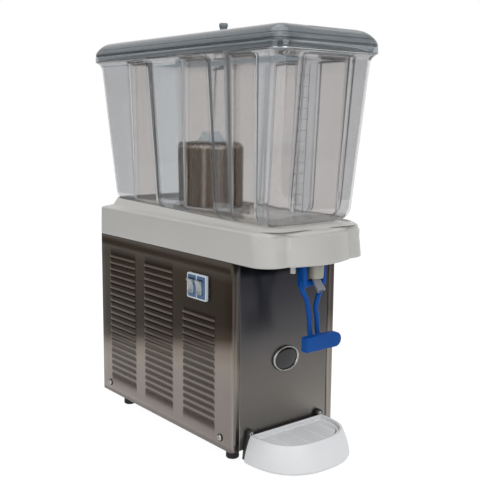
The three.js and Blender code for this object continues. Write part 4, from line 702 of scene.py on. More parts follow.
def basinSection(s=basin, c=foot):
    # A closed section carried round the basin's outline. Each ring has its level, half width,
    # front, rear, corner radius and share of the bow; the front of ring i is
    # front - bow * cos(pi / 2.35 * x / bowHalf)
    half, bottom, top = halfCabinet, levels["basinBottom"], levels["basinShoulder"]
    rows = []

    def wall(level, inset, lean, bow=1.0, climb=0.0):
        rows.append((level, half - inset, s["front"] + inset + lean, s["rear"] - inset,
                     max(s["cornerRadius"] - inset, 4), max(s["rearRadius"] - inset, 2), bow, climb))

    def collar(level, out, climb):
        rows.append((level, c["half"] + out, c["front"] - out, c["rear"] + out, c["radius"] + out,
                     c["radius"] + out, 0.0, climb))

    wall(bottom + 0.8, s["wall"], 0)
    wall(bottom, s["wall"] - 0.8, 0)
    wall(bottom, 0.8, 0)
    wall(bottom + 0.9, 0.0, 0)
    for share in np.linspace(0.08, 1, 9):
        wall(mix(bottom, top - s["shoulder"], share), s["draft"] * share,
             s["lean"] * 0.85 * share ** 1.3)
    for angle in np.linspace(0, math.pi / 2, 8)[1:]:
        inset = s["shoulder"] * (1 - math.cos(angle))
        wall(top - s["shoulder"] * (1 - math.sin(angle)), s["draft"] + inset,
             s["lean"] * mix(0.85, 1, math.sin(angle)))
    wall(top + 0.3, s["shoulder"] + 2.5, s["lean"], 0.9, 0.04)
    out, spread = s["collarOut"], s["collarSpread"]
    for level, further, climb in (
            (top + 0.9, out + spread + 1.8, 0.14), (top + 1.6, out + spread - 0.4, 0.3),
            (top + 2.2, out + 3.4, 0.48), (top + 2.7, out + 1.6, 0.68),
            (levels["deck"], out + 0.2, 0.86), (levels["deck"], out - 1.3, 1.0),
            (levels["deck"], 2.0, 0.97), (levels["deck"], 1.2, 0.85), (levels["deck"], 1.0, 0.0)):
        collar(level, further, climb)
    level, halfWidth, front, rear, frontRadius, rearRadius, bow, climb = np.array(rows).T[:, :, None]
    sideY = mix(front + frontRadius, rear - rearRadius, np.linspace(0, 1, 26)[None, 1:-1])
    reach = halfWidth - frontRadius
    bowX = np.minimum(s["bowHalf"], reach - 3)
    middle = bowX * np.linspace(-1, 1, 41)[None]
    outward = mix(-reach, -bowX, np.linspace(0, 1, 5)[None, 1:-1])
    frontX = np.concatenate([outward, middle, -outward[:, ::-1]], 1)
    x, y, kind = roundOutline(halfWidth, front, rear, frontRadius, rearRadius, sideY, frontX, 14, 16)
    curve = bow * s["bow"] * np.cos(math.pi / 2.35 * x / bowX) * (np.abs(x) <= bowX + 1e-6)
    y = y - np.where(kind == "front", curve, 0)
    along = (y - s["front"]) / (s["rear"] - s["front"])
    z = level + climb * mix(s["collarFrontRise"], s["collarRearRise"], along)
    return x, y, z


def towardsCircle(x, y, centre, radius):
    # The point of a circle in the same direction from its centre
    angle = np.arctan2(y - centre[1], x - centre[0])
    return centre[0] + radius * np.cos(angle), centre[1] + radius * np.sin(angle)


# The deck runs in to the drum's hole, and its underside runs out again to the skirt
x, y, z = basinSection()
shares = np.array([0.0, 0.3, 0.6, 0.85, 1.0])[:, None]
holeX, holeY = towardsCircle(x[-1], y[-1], drumCentre, basin["hole"])
deckX, deckY = mix(x[-1], holeX, shares), mix(y[-1], holeY, shares)
flat = np.repeat([levels["deck"], levels["deck"] - basin["roof"],
                  levels["basinShoulder"] - basin["skirt"]], [4, 5, 1])
makePiece("white_basin", [loop(np.vstack([x, deckX[1:], deckX[::-1], x[:1]]),
                               np.vstack([y, deckY[1:], deckY[::-1], y[:1]]),
                               np.vstack([z, flat[:, None] * np.ones_like(x[:1])]))],
          "cabinet", "basin", ("basin",), sharpAngle=50)

# Drain spout beside the tap
spoutProfile = [(2.4, 282), (4, 282), (4, 342), (7, 342), (7, 342.6), (4, 343), (4, 345.8),
                (2.4, 345.8), (2.4, 282)]
makeTurned("drain_tube", spoutProfile, 0.4, 3, (-30, -46, 0), 28, "cabinet", "seal",
           ("drain_spout",))
print("basin made")

# Cooling drum, its gasket and the stirrer
drum = dict(radius=50.5, top=455, edge=11, paintedGlintTop=452, ringLevel=449.5)
edgeAngle = np.linspace(0, math.pi / 2, 13)
drumProfile = np.vstack([
    [(49, 330.7), (50.5, 330.7), (50.5, 341.2), (62, 341.2), (62, 342.7), (50.5, 342.7)],
    np.stack([drum["radius"] - drum["edge"] * (1 - np.cos(edgeAngle)),
              drum["top"] - drum["edge"] * (1 - np.sin(edgeAngle))], -1),
    [(36, 455), (35, 454.2), (24, 454.2), (0, 454.2)],
    [(0, 452.7), (38, 453), (45, 450), (49, 443), (49, 330.7)]])
shell = turned(drumProfile, (*drumCentre, 0), 180)
around = np.degrees(np.arctan2(shell[0][:, 1] - drumCentre[1], shell[0][:, 0] - drumCentre[0]))
# Painted highlights: bright lines down the drum, each strength * exp(-((a - middle) / width)^2)
# in degrees, and one round its shoulder
paintedGlint = sum(strength * np.exp(-((around - middle) / width) ** 2) for strength, middle, width in
            ((0.6, -140, 3), (0.28, -114, 9), (0.15, 40, 12), (0.3, 100, 5)))
ring = np.exp(-((shell[0][:, 2] - drum["ringLevel"]) / 3) ** 2)
ring *= 0.4 + 0.6 * np.exp(-((around + 127) / 40) ** 2)
paintedGlint = np.clip(paintedGlint * (shell[0][:, 2] < drum["paintedGlintTop"]) + ring, 0, 1)
makePiece("drum_shell", [shell], "cabinet", "drum", ("evaporator_drum",),
          {"paintedGlint": paintedGlint})
gasketProfile = [(50.8, 346.3), (57.8, 346.3), (57.6, 350.5), (54, 353.6), (50.8, 354.3),
                 (50.8, 346.3)]
makeTurned("gasket_ring", gasketProfile, 1.0, 4, (*drumCentre, 0), 96, "cabinet",
           "seal", ("drum_gasket",))

stirrer = dict(vanes=6, vaneHalf=0.9, vaneEdge=0.4)
hub = softened([(0, 455.3), (22.5, 455.3), (22.5, 457.8), (16.5, 459), (15.5, 462), (14.8, 469),
                (13.6, 471.3), (0, 471.3)], 0.9, 4, closed=False)
parts = [turned(hub, (*drumCentre, 0), 56)]
bladeOutline = softened([(4, 456.5), (22, 456.5), (21, 462), (12, 468.3), (4, 469)], 1.5, 4)
points, faces = slab(bladeOutline, -stirrer["vaneHalf"], stirrer["vaneHalf"], stirrer["vaneEdge"],
                     "y")
for angle in np.arange(stirrer["vanes"]) * 2 * math.pi / stirrer["vanes"]:
    turn = np.array([[math.cos(angle), -math.sin(angle), 0], [math.sin(angle), math.cos(angle), 0],
                     [0, 0, 1]])
    parts.append((points @ turn.T + np.array([*drumCentre, 0]), faces))
makePiece("stirrer_wheel", parts, "stirrer", "stirrer", ("stirrer",))
print("drum and stirrer made")

# Tank: one clear moulding, drafted, with flutes in its sides and a shallow panel in its front.
# fluteLines has, for each flute, the painted shade of its two steps on the left and on the right
tank = dict(floorHalf=79, floorFront=-55.5, floorRear=351, sideSpread=9.8, frontSpread=21.5,
            rearSpread=29.6, rimSide=9.2, rimFront=10, rimRear=10.4, radius=17, rimRadius=24,
            fillet=22, wall=3.5, fluteFeet=(-19, 29, 71, 142, 220, 281),
            fluteTops=(-26, 26, 79, 134, 233, 280), step=2.6, gather=3.8, fluteBottom=2.5,
            fluteTop=6, panelHalf=42, panelDepth=1.8, spigotY=-28,
            collar=11, collarOuter=61.6, collarInner=58.1, lineOut=0.9, panelLine=0.12,
            ledgeLine=0.9, ledgeDrop=7.4,
            fluteLines=(((0.35, 0.9), (1.0, 0.7)), ((0.95, 0.4), (0.5, 0.8)),
                        ((0.95, 0.3), (0.3, 0.3))))
wallHeight = levels["wallTop"] - levels["tankFloor"]
flareHeight = levels["rimBottom"] - levels["wallTop"]


def tankProfile(s=tank):
    # Rows of (level, inset of the outline, share of the flare, wall thickness taken off), from the
    # foot outside, up the wall, over the rim and down again inside
    low, high, rim, top = [levels[name] for name in ("tankFloor", "wallTop", "rimBottom", "rimTop")]
    straight = [(z, 0, 0) for z in np.linspace(low + s["fillet"], high, 14)]
    flare = [(high + flareHeight * t, 0, t ** 2.2) for t in np.linspace(0, 1, 16)[1:]]
    rise, inset = quarter(s["fillet"], 10)
    outside = [(low + up, into, 0, 0) for up, into in zip(rise, inset)]
    outside += [(*row, 0) for row in straight[1:] + flare]
    outside += [(rim + 0.7, 0, 1, 0), (top - 1.0, 0, 1, 0), (top - 0.3, 0.3, 1, 0), (top, 1.0, 1, 0)]
    inside = [(top, 5.2, 1, 0), (top - 0.6, 6, 1, 0), (rim + 2, 6, 1, 0)]
    inside += [(*row, s["wall"]) for row in flare[-2::-1] + straight[:0:-1]]
    rise, inset = quarter(s["fillet"] - s["wall"], 10)
    inside += [(low + s["wall"] + up, into, 0, s["wall"]) for up, into in zip(rise[::-1], inset[::-1])]
    return np.array(outside + inside)


def tankSurface(s=tank):
    # Half width, front and rear are straight lines of the level, spread further by the flare; a
    # flute draws the side in to a steeper plane wherever its mask, a sum of smooth steps in y, is 1
    level, inset, flare, wall = tankProfile().T[:, :, None]
    share = np.clip((level - levels["tankFloor"]) / wallHeight, 0, 1)
    taken = inset + wall
    half = s["floorHalf"] + s["sideSpread"] * share + s["rimSide"] * flare - taken
    front = s["floorFront"] - s["frontSpread"] * share - s["rimFront"] * flare + taken
    rear = s["floorRear"] + s["rearSpread"] * share + s["rimRear"] * flare - taken
    radius = np.maximum(mix(s["radius"], s["rimRadius"], flare) - taken, 3)
    # The edges of the flutes lean, so the points of a row gather round where its edges are
    edges = mix(np.array(s["fluteFeet"], float), np.array(s["fluteTops"], float), share)
    gather = s["step"] / 2 + s["gather"]
    near = edges[:, :, None] + np.linspace(-1, 1, 15) * gather
    between = mix(near[:, :-1, -1:], near[:, 1:, :1], np.linspace(0, 1, 6)[1:-1])
    sideY = np.concatenate([near[:, :-1], between], 2).reshape(len(level), -1)
    frontEnd, rearEnd = front + radius, rear - radius
    forward = mix(frontEnd, near[:, 0, :1], np.linspace(0, 1, 6)[1:-1])
    backward = mix(near[:, -1, -1:], rearEnd, np.linspace(0, 1, 10)[1:-1])
    sideY = np.concatenate([forward, sideY, near[:, -1], backward], 1)
    panelEdge = s["panelHalf"] + np.linspace(-1, 1, 11) * gather
    frontX = np.unique(np.round(np.concatenate([panelEdge, -panelEdge, np.linspace(-35, 35, 11)]), 2))
    reach = half - radius
    outward = mix(-reach, frontX[0], np.linspace(0, 1, 4)[None, :-1])
    squeezed = frontX[None] * np.minimum(1, (reach - 0.5) / frontX[-1])
    outward = np.minimum(outward, squeezed[:, :1] - 0.05)
    frontX = np.concatenate([outward, squeezed, -outward[:, ::-1]], 1)
    x, y, kind = roundOutline(half, front, rear, radius, radius, sideY, frontX, 12, 14)
    sideways, onFront = [np.isin(kind, names)[None] * np.ones_like(x)
                         for names in (["left", "right"], ["front"])]

    def steps(value, low, high):
        # 1 between low and high, with a smooth step as wide as a flute's at both
        return smooth((value - low) / s["step"] + 0.5) - smooth((value - high) / s["step"] + 0.5)

    pairs = [(edges[:, i:i + 1] - wall, edges[:, i + 1:i + 2] + wall) for i in (0, 2, 4)]
    fluteMask = sum(steps(y, a, b) for a, b in pairs) * sideways
    slope = (s["sideSpread"] - s["fluteTop"] + s["fluteBottom"]) / wallHeight
    fluteFloor = s["floorHalf"] - s["fluteBottom"] + slope * (level - levels["tankFloor"]) - wall
    belowRim = level < levels["rimBottom"] + np.where(wall > 0, -s["wall"], 0.1)
    runOut = 1 - smooth((level - levels["rimBottom"] + 8) / 7)
    depth = np.clip(half - fluteFloor, 0, 30) * belowRim * runOut
    x = x - np.sign(x) * depth * fluteMask
    panelEnd = s["panelHalf"] + wall
    panelMask = steps(x, -panelEnd, panelEnd) * onFront
    y = y + s["panelDepth"] * panelMask * (share > 0.1) * (flare < 0.4)
    # Painted shade: dark lines along the steps of flutes and panel and under the rim
    stepShade = np.zeros_like(x)
    for pair, (left, right) in zip(pairs, s["fluteLines"]):
        for place, out, onLeft, onRight in zip(pair, (-1, 1), left, right):
            dark = np.where(x < 0, onLeft, onRight) * sideways
            stepShade += dark * np.exp(-(y - place - out * s["lineOut"]) ** 2)
    for place in (-panelEnd, panelEnd):
        stepShade += s["panelLine"] * np.exp(-((x - place) / 1.3) ** 2) * onFront
    ledgeLevel = levels["rimBottom"] - s["ledgeDrop"]
    ledgeShade = s["ledgeLine"] * fluteMask * np.exp(-((level - ledgeLevel) / 1.1) ** 2)
    creaseShade = np.clip(np.maximum(stepShade * (level < levels["rimBottom"]), ledgeShade), 0, 1)
    rim = smooth((level - levels["rimBottom"] + 1.5) / 2) * np.ones_like(x)
    # Painted light from the room: three upright stretches on the left wall, and the front rim
    pale = steps(y, frontEnd - 6, edges[:, :1] - wall)
    pale += steps(y, edges[:, 3:4] + wall, edges[:, 4:5] - wall)
    pale += 0.7 * steps(y, edges[:, 5:] + wall, rearEnd)
    pale = np.clip(pale * (x < 0) * (1 - fluteMask), 0, 1) * sideways * (flare < 0.3)
    return x, y, level * np.ones_like(x), dict(creaseShade=creaseShade, flute=fluteMask * (flare < 0.3),
                                               smoky=rim, pale=pale + 0.7 * rim * onFront)


# From the last row inside the floor runs in to a collar round the drum, (share of the way from
# its outer to its inner face, level) in each row, and from there out again underneath
x, y, z, tints = tankSurface()
collarTop = levels["tankFloor"] + tank["collar"]
collar = np.array([(0, levels["tankFloor"] + tank["wall"]), (0, collarTop - 0.8), (0.3, collarTop),
                   (0.7, collarTop), (1, collarTop - 0.8), (1, levels["tankFloor"])])
hubX, hubY = [mix(far, near, collar[:, :1]) for far, near in zip(
    *[towardsCircle(x[0], y[0], drumCentre, tank[key]) for key in ("collarOuter", "collarInner")])]
walls = loop(np.vstack([x, hubX]), np.vstack([y, hubY]),
             np.vstack([z, collar[:, 1:] * np.ones_like(x[:1])]))
spigotProfile = [(6, 307.6), (9, 307.6), (9, 346.5), (6, 346.5), (6, 307.6)]
spigot = turned(softened(spigotProfile, 0.5, 3, closed=False), (0, tank["spigotY"], 0), 40)
plain = np.zeros(hubX.size + len(spigot[0]))
makePiece("tank_moulding", [walls, spigot], "tank", "clear", ("tank",),
          {label: np.concatenate([tint.ravel(), plain]) for label, tint in tints.items()},
          sharpAngle=32)
sealProfile = [(7.6, 321.4), (9.1, 321.4), (9.4, 322.5), (9.1, 323.6), (7.6, 323.6), (7.6, 321.4)]
makeTurned("spigot_ring", sealProfile, 0.4, 4, (0, tank["spigotY"], 0), 40, "tank",
           "rubber", ("spigot_seal",))
# Direct light reaches through the clear walls
for piece in ("tank_moulding", "spigot_ring"):
    bpy.data.objects[piece].visible_shadow = False
print("tank made")

# Lid: a smoked moulding with a groove, a skirt, a round shoulder and a shallow plateau
lid = dict(half=98, front=-87, rear=391, radius=24, bottom=590.3, inner=603, top=611,
           plateau=614.6, thickness=3, notchFrom=-30, notchTo=78, notchReach=18, notchDepth=2.8,
           knobY=152, knobHole=3.3, glowCorner=(-91, -80), creaseShare=0.75)


def makeLid(s=lid):
    # Closed section of (inset, level, painted shade) carried round the outline; the middle rows slide
    # towards a small circle under the knob, and the step lowers z along most of the front edge
    rows = [(12, s["bottom"], 0), (3.2, s["bottom"], 0), (0.5, s["bottom"] + 0.5, 0.5),
            (0.3, 591.4, 0.1), (0.3, 592.4, 0.2), (0.9, 592.7, 1), (0.9, 593.3, 1), (0.4, 593.6, 0.3),
            (0.6, 594.6, 0), (1.2, 596.4, 0), (2.2, 598.4, 0), (2.9, 599.4, 0.3), (3.5, 599.7, 1),
            (3.7, 600.3, 1), (3.9, 600.8, 0.2), (5.0, 602.2, 0), (6.4, 603.7, 0), (8.4, 605.8, 0),
            (9.2, 606.4, 0.5), (9.9, 606.8, 0.6), (11.2, 607.9, 0.1), (14.2, 609.8, 0),
            (17.6, 611.4, 0), (21.8, 612.6, 0), (26, 613.6, 0), (31, 614.3, 0), (37, s["plateau"], 0)]
    inset, level, dark = np.array(rows).T[:, :, None]
    half, front, rear = s["half"] - inset, s["front"] + inset, s["rear"] - inset
    radius = np.maximum(s["radius"] - 0.6 * inset, 4)
    sideY = mix(front + radius, rear - radius, np.linspace(0, 1, 30)[None, 1:-1])
    frontX = np.concatenate([np.linspace(-70, -36, 5), s["notchFrom"] + np.linspace(-2.4, 2.4, 7),
                             np.linspace(-22, 70, 14)])
    frontX = frontX[None] * np.minimum(1, (half - radius - 1) / 70)
    x, y = roundOutline(half, front, rear, radius, radius, sideY, frontX, 14, 14)[:2]
    # Over the plateau the rows slide in to the hole. From the hole the shell goes out, in and out
    # again to the first row, which leaves a wedge of air in the plate, highest at the hole
    middleX, middleY = towardsCircle(x[-1], y[-1], (0, s["knobY"]), s["knobHole"])
    above = np.array([0.2, 0.45, 0.7, 0.9, 1.0])[:, None]
    under = np.array([0.0, 0.2, 0.5, 0.8, 1.0])[:, None]
    z = level * np.ones_like(x)
    x = np.vstack([x, mix(x[-1], middleX, above), mix(x[0], middleX, under), x[:1]])
    y = np.vstack([y, mix(y[-1], middleY, above), mix(y[0], middleY, under), y[:1]])
    flat = np.repeat([s["plateau"], s["top"] - s["thickness"], s["inner"]], [5, 5, 1])[:, None]
    z = np.vstack([z, flat * np.ones_like(x[:1])])
    dark = np.vstack([dark, 0 * flat]) * np.ones_like(x)
    across = smooth((x - s["notchFrom"] + 1) / 2) * smooth((s["notchTo"] - x) / 6)
    deep = smooth((s["front"] + s["notchReach"] + 2 - y) / 3)
    over = z > s["top"] - s["thickness"] + 0.2
    z = z - np.where(over, s["notchDepth"] * across * deep * smooth((z - 607) / 5), 0)
    # Painted shade also runs along the notch's edge
    notchLine = np.exp(-((x - s["notchFrom"]) / 1.2) ** 2) * deep * over
    dark = np.maximum(dark, 0.6 * notchLine)
    # Painted light on the near corner and, fainter, on the front
    cornerX, cornerY = s["glowCorner"]
    corner = np.exp(-((x - cornerX) ** 2 + (y - cornerY) ** 2) / 40) * (z < 606)
    ahead = 0.4 * smooth((-y - 66) / 12) * smooth((x + 80) / 30) * (z < 598)
    makePiece("lid_moulding", [loop(x, y, z)], "lid", "smoke", ("lid",),
              {"creaseShade": s["creaseShare"] * dark, "pale": np.maximum(corner, ahead)}, sharpAngle=40)


makeLid()
knobProfile = [(0, 608), (3, 608), (3, 614.2), (6.8, 614.2), (6.2, 617), (5.4, 621), (5.6, 627),
               (6.8, 629.5), (6.8, 633.4), (5.6, 634.9), (0, 634.9)]
makeTurned("knob_turned", knobProfile, 0.9, 4, (0, lid["knobY"], 0), 48, "lid",
           "knob", ("lid_knob",))
bpy.data.objects["lid_moulding"].visible_shadow = False
print("lid made")

# Level scale on the tank's front: rungs between two rails, with plain numbers beside it
scale = dict(first=378, pitch=14.2, count=13, leftTop=-44.5, leftFoot=-38.2, rightTop=-32.5,
             rightFoot=-24, railFoot=366, railTop=562, proud=0.35, width=0.5, sunk=0.3,
             numberSize=5.2, numberGap=5, numberThickness=0.3)


def frontWall(z):
    # The front wall's outer y at a level
    share = (z - levels["tankFloor"]) / wallHeight
    return tank["floorFront"] - tank["frontSpread"] * share + tank["panelDepth"]


def bars(x0, z0, x1, z1, s=scale):
    # Each bar is a four-sided ridge on the wall, from (x0, z0) to (x1, z1); all come as arrays
    ends = np.stack([np.stack([x0, z0], -1), np.stack([x1, z1], -1)], 1)
    run = ends[:, 1] - ends[:, 0]
    across = np.stack([-run[:, 1], run[:, 0]], -1) / np.linalg.norm(run, axis=1, keepdims=True)
    across *= s["width"] / 2
    corner = np.array([(-1, s["sunk"]), (-0.5, -s["proud"]), (0.5, -s["proud"]), (1, s["sunk"])])
    flat = ends[:, :, None] + across[:, None, None] * corner[None, None, :, :1]
    y = frontWall(flat[..., 1]) + corner[None, None, :, 1]
    points = np.stack([flat[..., 0], y, flat[..., 1]], -1)
    base = np.arange(len(points))[:, None] * 8
    quads = np.array([(0, 1, 5, 4), (1, 2, 6, 5), (2, 3, 7, 6), (3, 0, 4, 7), (0, 3, 2, 1),
                      (4, 5, 6, 7)])
    return points.reshape(-1, 3), [(quads[None] + base[:, :, None]).reshape(-1, 4)]


def numberParts(s=scale):
    # Flat figures set on the wall; their outlines come from the built-in typeface
    parts = []
    depsgraph = bpy.context.evaluated_depsgraph_get
    for i in range(s["count"]):
        text = bpy.data.curves.new("figure", "FONT")
        text.body, text.size, text.align_x = str(i + 1), s["numberSize"], "CENTER"
        text.extrude, text.resolution_u = s["numberThickness"], 3
        helper = bpy.data.objects.new("figure", text)
        bpy.context.collection.objects.link(helper)
        mesh = bpy.data.meshes.new_from_object(helper.evaluated_get(depsgraph()))
        flat = np.empty(3 * len(mesh.vertices))
        mesh.vertices.foreach_get("co", flat)
        flat = flat.reshape(-1, 3)
        z = s["first"] + s["pitch"] * i + flat[:, 1] - 2
        middle = mix(s["leftFoot"], s["leftTop"], i / (s["count"] - 1)) - s["numberGap"]
        y = frontWall(z) - tank["panelDepth"] - flat[:, 2]
        faces = [np.array([list(face.vertices)]) for face in mesh.polygons]
        parts.append((np.stack([middle + flat[:, 0], y, z], -1), faces))
        bpy.data.objects.remove(helper)
        bpy.data.meshes.remove(mesh)
        bpy.data.curves.remove(text)
    return parts


rungZ = scale["first"] + scale["pitch"] * np.arange(scale["count"])
railZ = np.linspace(scale["railFoot"], scale["railTop"], 13)
rungEnds, rails = [], []
for side in ("left", "right"):
    foot, top = scale[side + "Foot"], scale[side + "Top"]
    rungEnds.append(np.linspace(foot, top, scale["count"]))
    railX = np.linspace(foot, top, len(railZ))
    rails.append(bars(railX[:-1], railZ[:-1], railX[1:], railZ[1:]))
rungs = bars(rungEnds[0], rungZ, rungEnds[1], rungZ)
makePiece("level_scale", [rungs] + rails, "tank", "scale", sharpAngle=20)
makePiece("level_figures", numberParts(), "tank", "scale", sharpAngle=20)
print("level scale made")

# Tap, nozzle and piston
tap = dict(centreY=-60, bottom=274)


def squircle(radius, level, power=3.2):
    # |x|^p + |y|^p = r^p, drawn as r * sign(cos) * |cos|^(2/p)
    angle = np.linspace(0, 2 * math.pi, 64, endpoint=False)[None, :]
    cos, sin = np.cos(angle), np.sin(angle)
    x = radius * np.sign(cos) * np.abs(cos) ** (2 / power)
    y = radius * np.sign(sin) * np.abs(sin) ** (2 / power)
    return np.stack(np.broadcast_arrays(x, tap["centreY"] + y, level), -1)


barrelRows = np.array([(0.01, 274), (8.2, 274), (9.0, 274.5), (9.4, 276), (9.7, 284),
                       (10.1, 294.8), (10.2, 305.4), (9.7, 306), (0.01, 306)])
barrel = skin(squircle(barrelRows[:, :1], barrelRows[:, 1:]))
block = slab(rectangle(-12, 12, -60, -15.8, 2), 295, 306, 1, "z")
socketProfile = [(9.5, 305), (12.7, 305), (12.7, 332), (9.5, 332), (9.5, 305)]
socket = turned(softened(socketProfile, 0.6, 3, closed=False), (0, tank["spigotY"], 0), 40)
earOutline = softened([(-51.5, 295), (-40.5, 295), (-40.5, 321), (-42.5, 324), (-46, 325),
                       (-49.5, 324), (-51.5, 321)], 1.6, 4)
ears = [slab(earOutline, *span, 0.6, "x") for span in ((-13, -9), (9, 13))]
makePiece("tap_moulding", [barrel, block, socket] + ears, "cabinet", "tap",
          ("tap_body",))

# Return spring: a helix of round wire on the tap's top
coil = dict(radius=5.4, wire=0.6, turns=5, bottom=306.9, top=313.5)
angle = 2 * math.pi * coil["turns"] * np.linspace(0, 1, 121)
outward = np.stack([np.cos(angle), np.sin(angle), 0 * angle], -1)
helix = coil["radius"] * outward + (0, tap["centreY"], 0)
helix[:, 2] = np.linspace(coil["bottom"], coil["top"], len(angle))
spring = makePiece("return_spring", [tube(helix, circle(coil["wire"], 10), outward)], "cabinet",
                   "spring", ("tap_spring",))
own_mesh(spring)

# The nozzle tilts forwards, and its upper end is cut level under the tap
nozzle = dict(tilt=34, length=24, forward=1.5, into=4, gap=0.3)
tilt = math.radians(nozzle["tilt"])
nozzleRings = [(4.4, 0), (6.0, 0), (6.3, 0.4), (6.3, 21), (6.3, 24), (4.4, 24), (4.4, 0)]
points, faces = turned(nozzleRings, (0, 0, -nozzle["length"]), 48)
turn = np.array([[1, 0, 0], [0, math.cos(tilt), math.sin(tilt)],
                 [0, -math.sin(tilt), math.cos(tilt)]])
points = points @ turn.T + (0, tap["centreY"] + nozzle["forward"], tap["bottom"] + nozzle["into"])
points[:, 2] = np.minimum(points[:, 2], tap["bottom"] - nozzle["gap"])
makePiece("nozzle_tube", [(points, faces)], "cabinet", "nozzle", ("nozzle",))

pistonProfile = [(0, 282.7), (7, 282.7), (7, 287.2), (5.5, 288.7), (2.4, 288.7), (2.4, 314.4),
                 (7.5, 314.4), (7.5, 316.8), (4.2, 316.8), (4.2, 321.2), (7.5, 321.2),
                 (7.5, 323.4), (0, 323.4)]
makeTurned("piston_turned", pistonProfile, 0.3, 3, (0, tap["centreY"], 0), 36, "piston",
           "grey", ("tap_piston",))

# Lever: two arms on the pin, a web, two rods and a hollow paddle
lever = dict(armInner=14.5, armOuter=21.5, pinY=-46, pinZ=319, web=262, pegRadius=1.8,
             pegInner=5, pegOuter=15.5, rodRadius=3.6, rodSpacing=14.4, rodY=-54, paddleZ=187,
             paddleHalf=33.5, paddleHeight=21, paddleFront=-81, paddleDepth=12, wall=3.2, rim=1.8)


def armParts(side, s=lever):
    # A flat arm from the pin down to the web with a peg into the piston's groove, then a round rod
    # that swings in and down
    top, web, foot = s["pinZ"], s["web"], s["paddleZ"]
    outline = softened([(-60, web), (-45, web), (-44, top - 20), (-39, top - 6), (-39, top + 4),
                        (-42, top + 7), (-63, top + 7), (-66, top + 3), (-66, top - 6),
                        (-60, top - 18)], 3, 4)
    arm = slab(outline, *sorted((side * s["armInner"], side * s["armOuter"])), 1.4, "x")
    length = s["pegOuter"] - s["pegInner"]
    start = min(side * s["pegInner"], side * s["pegOuter"])
    peg = turned([(0, 0), (s["pegRadius"], 0), (s["pegRadius"], length), (0, length)],
                 (start, tap["centreY"], top), 20, "x")
    x = side * (s["armInner"] + s["armOuter"]) / 2
    near = side * s["rodSpacing"] / 2
    path = smoothPath([(x, -52.5, web + 8), (x, -52.6, web - 3), (near * 1.55, s["rodY"], web - 17),
                       (near, s["rodY"], web - 31), (near, s["rodY"] - 2.4, foot + 32),
                       (near, s["rodY"] - 4, foot + 14), (near, s["rodY"] - 6.5, foot + 5),
                       (near, s["paddleFront"] + 9.5, foot - 1),
                       (near, s["paddleFront"] + 3, foot - 2)], 60)
    thick = mix(1.15, 1.0, smooth(4 * np.linspace(0, 1, 60)[:, None, None]))
    return [arm, peg, tube(path, circle(s["rodRadius"], 24)[None] * thick, (1, 0, 0))]


def paddleParts(s=lever, points=40):
    # A bar with one flat and one round end. Each ring is that outline drawn in by an inset: left
    # half width - inset with small round corners, right a half circle of radius height / 2 - inset
    half, high, wall = s["paddleHalf"], s["paddleHeight"] / 2, s["wall"]
    front, rear = s["paddleFront"], s["paddleFront"] + s["paddleDepth"]
    rows = [(high - 0.05, front + wall), (high * 0.6, front + wall), (wall + 0.6, front + wall),
            (wall, front + wall + 0.8), (wall * 0.8, rear - 0.5), (wall * 0.7, rear), (0.6, rear),
            (0.05, rear - 0.6)]
    rows += [(s["rim"] * (1 - math.cos(a)), front + 2.0 - s["rim"] * math.sin(a))
             for a in np.linspace(0, math.pi / 2, 6)]
    rows += [(high * 0.6, front + 0.05), (high - 0.05, front)]
    inset, depth = np.array(rows).T[:, :, None]
    r = high - inset
    turn = np.linspace(-math.pi / 2, math.pi / 2, points)[None, :]
    small = np.minimum(2.2, r * 0.9)
    around = np.linspace(math.pi / 2, math.pi, 8)[None, :]
    topX = -half + inset + small + small * np.cos(around)
    topZ = r - small + small * np.sin(around)
    run = np.linspace(0.04, 0.96, 12)[None, :]
    x = np.concatenate([half - high + r * np.cos(turn), mix(half - high, topX[:, :1], run), topX,
                        topX[:, ::-1], mix(topX[:, :1], half - high, run)], 1)
    z = np.concatenate([r * np.sin(turn), r + 0 * run, topZ, -topZ[:, ::-1], 0 * run - r], 1)
    return [skin(np.stack(np.broadcast_arrays(x, depth, s["paddleZ"] + z), -1), capped=True)]


web = slab(rectangle(-16, 16, lever["web"], lever["web"] + 9, 2), -56, -49, 1.4, "y")
makePiece("blue_lever", armParts(-1) + armParts(1) + paddleParts() + [web], "lever",
          "blue", ("lever",))
pinProfile = [(0, -24.5), (2.2, -24.5), (2.2, 24.5), (0, 24.5)]
makeTurned("pivot_pin", pinProfile, 0.5, 4, (0, lever["pinY"], lever["pinZ"]), 28, "cabinet",
           "chrome", ("lever_pin",), "x")
print("tap and lever made")

# Drip tray: a round-fronted tub with a flat back, and a grille in its recess
tray = dict(back=-7, topHalf=71, footHalf=82, topReach=75, footReach=90, top=45, floor=5, rim=5,
            topPower=3, footPower=2.5, swell=1.2, recess=4, grilleThickness=3)
grille = dict(bottom=38.3, top=41.3, gap=0.8, frame=5, pitch=2.9, ribEvery=10,
              width=(1.5, 0.62), crown=(0.25, -0.35))


def trayRings(rows, count=96):
    # Rows of (half, reach, back, level, power) make rings: x = half * sign(cos) |cos|^(2/p) and
    # y = back - reach * |sin|^(2/p) round the front, then the flat back
    half, reach, back, level, power = np.array(rows, float).T[:, :, None]
    a = -math.pi + math.pi * np.linspace(0, 1, count)[None]
    cos, sin = np.cos(a), np.abs(np.sin(a))
    flatX = half * np.linspace(1, -1, 14)[None, 1:-1]
    x = np.concatenate([half * np.sign(cos) * np.abs(cos) ** (2 / power), flatX], 1)
    y = np.concatenate([back - reach * sin ** (2 / power), back + 0 * flatX], 1)
    return loop(x, y, level)


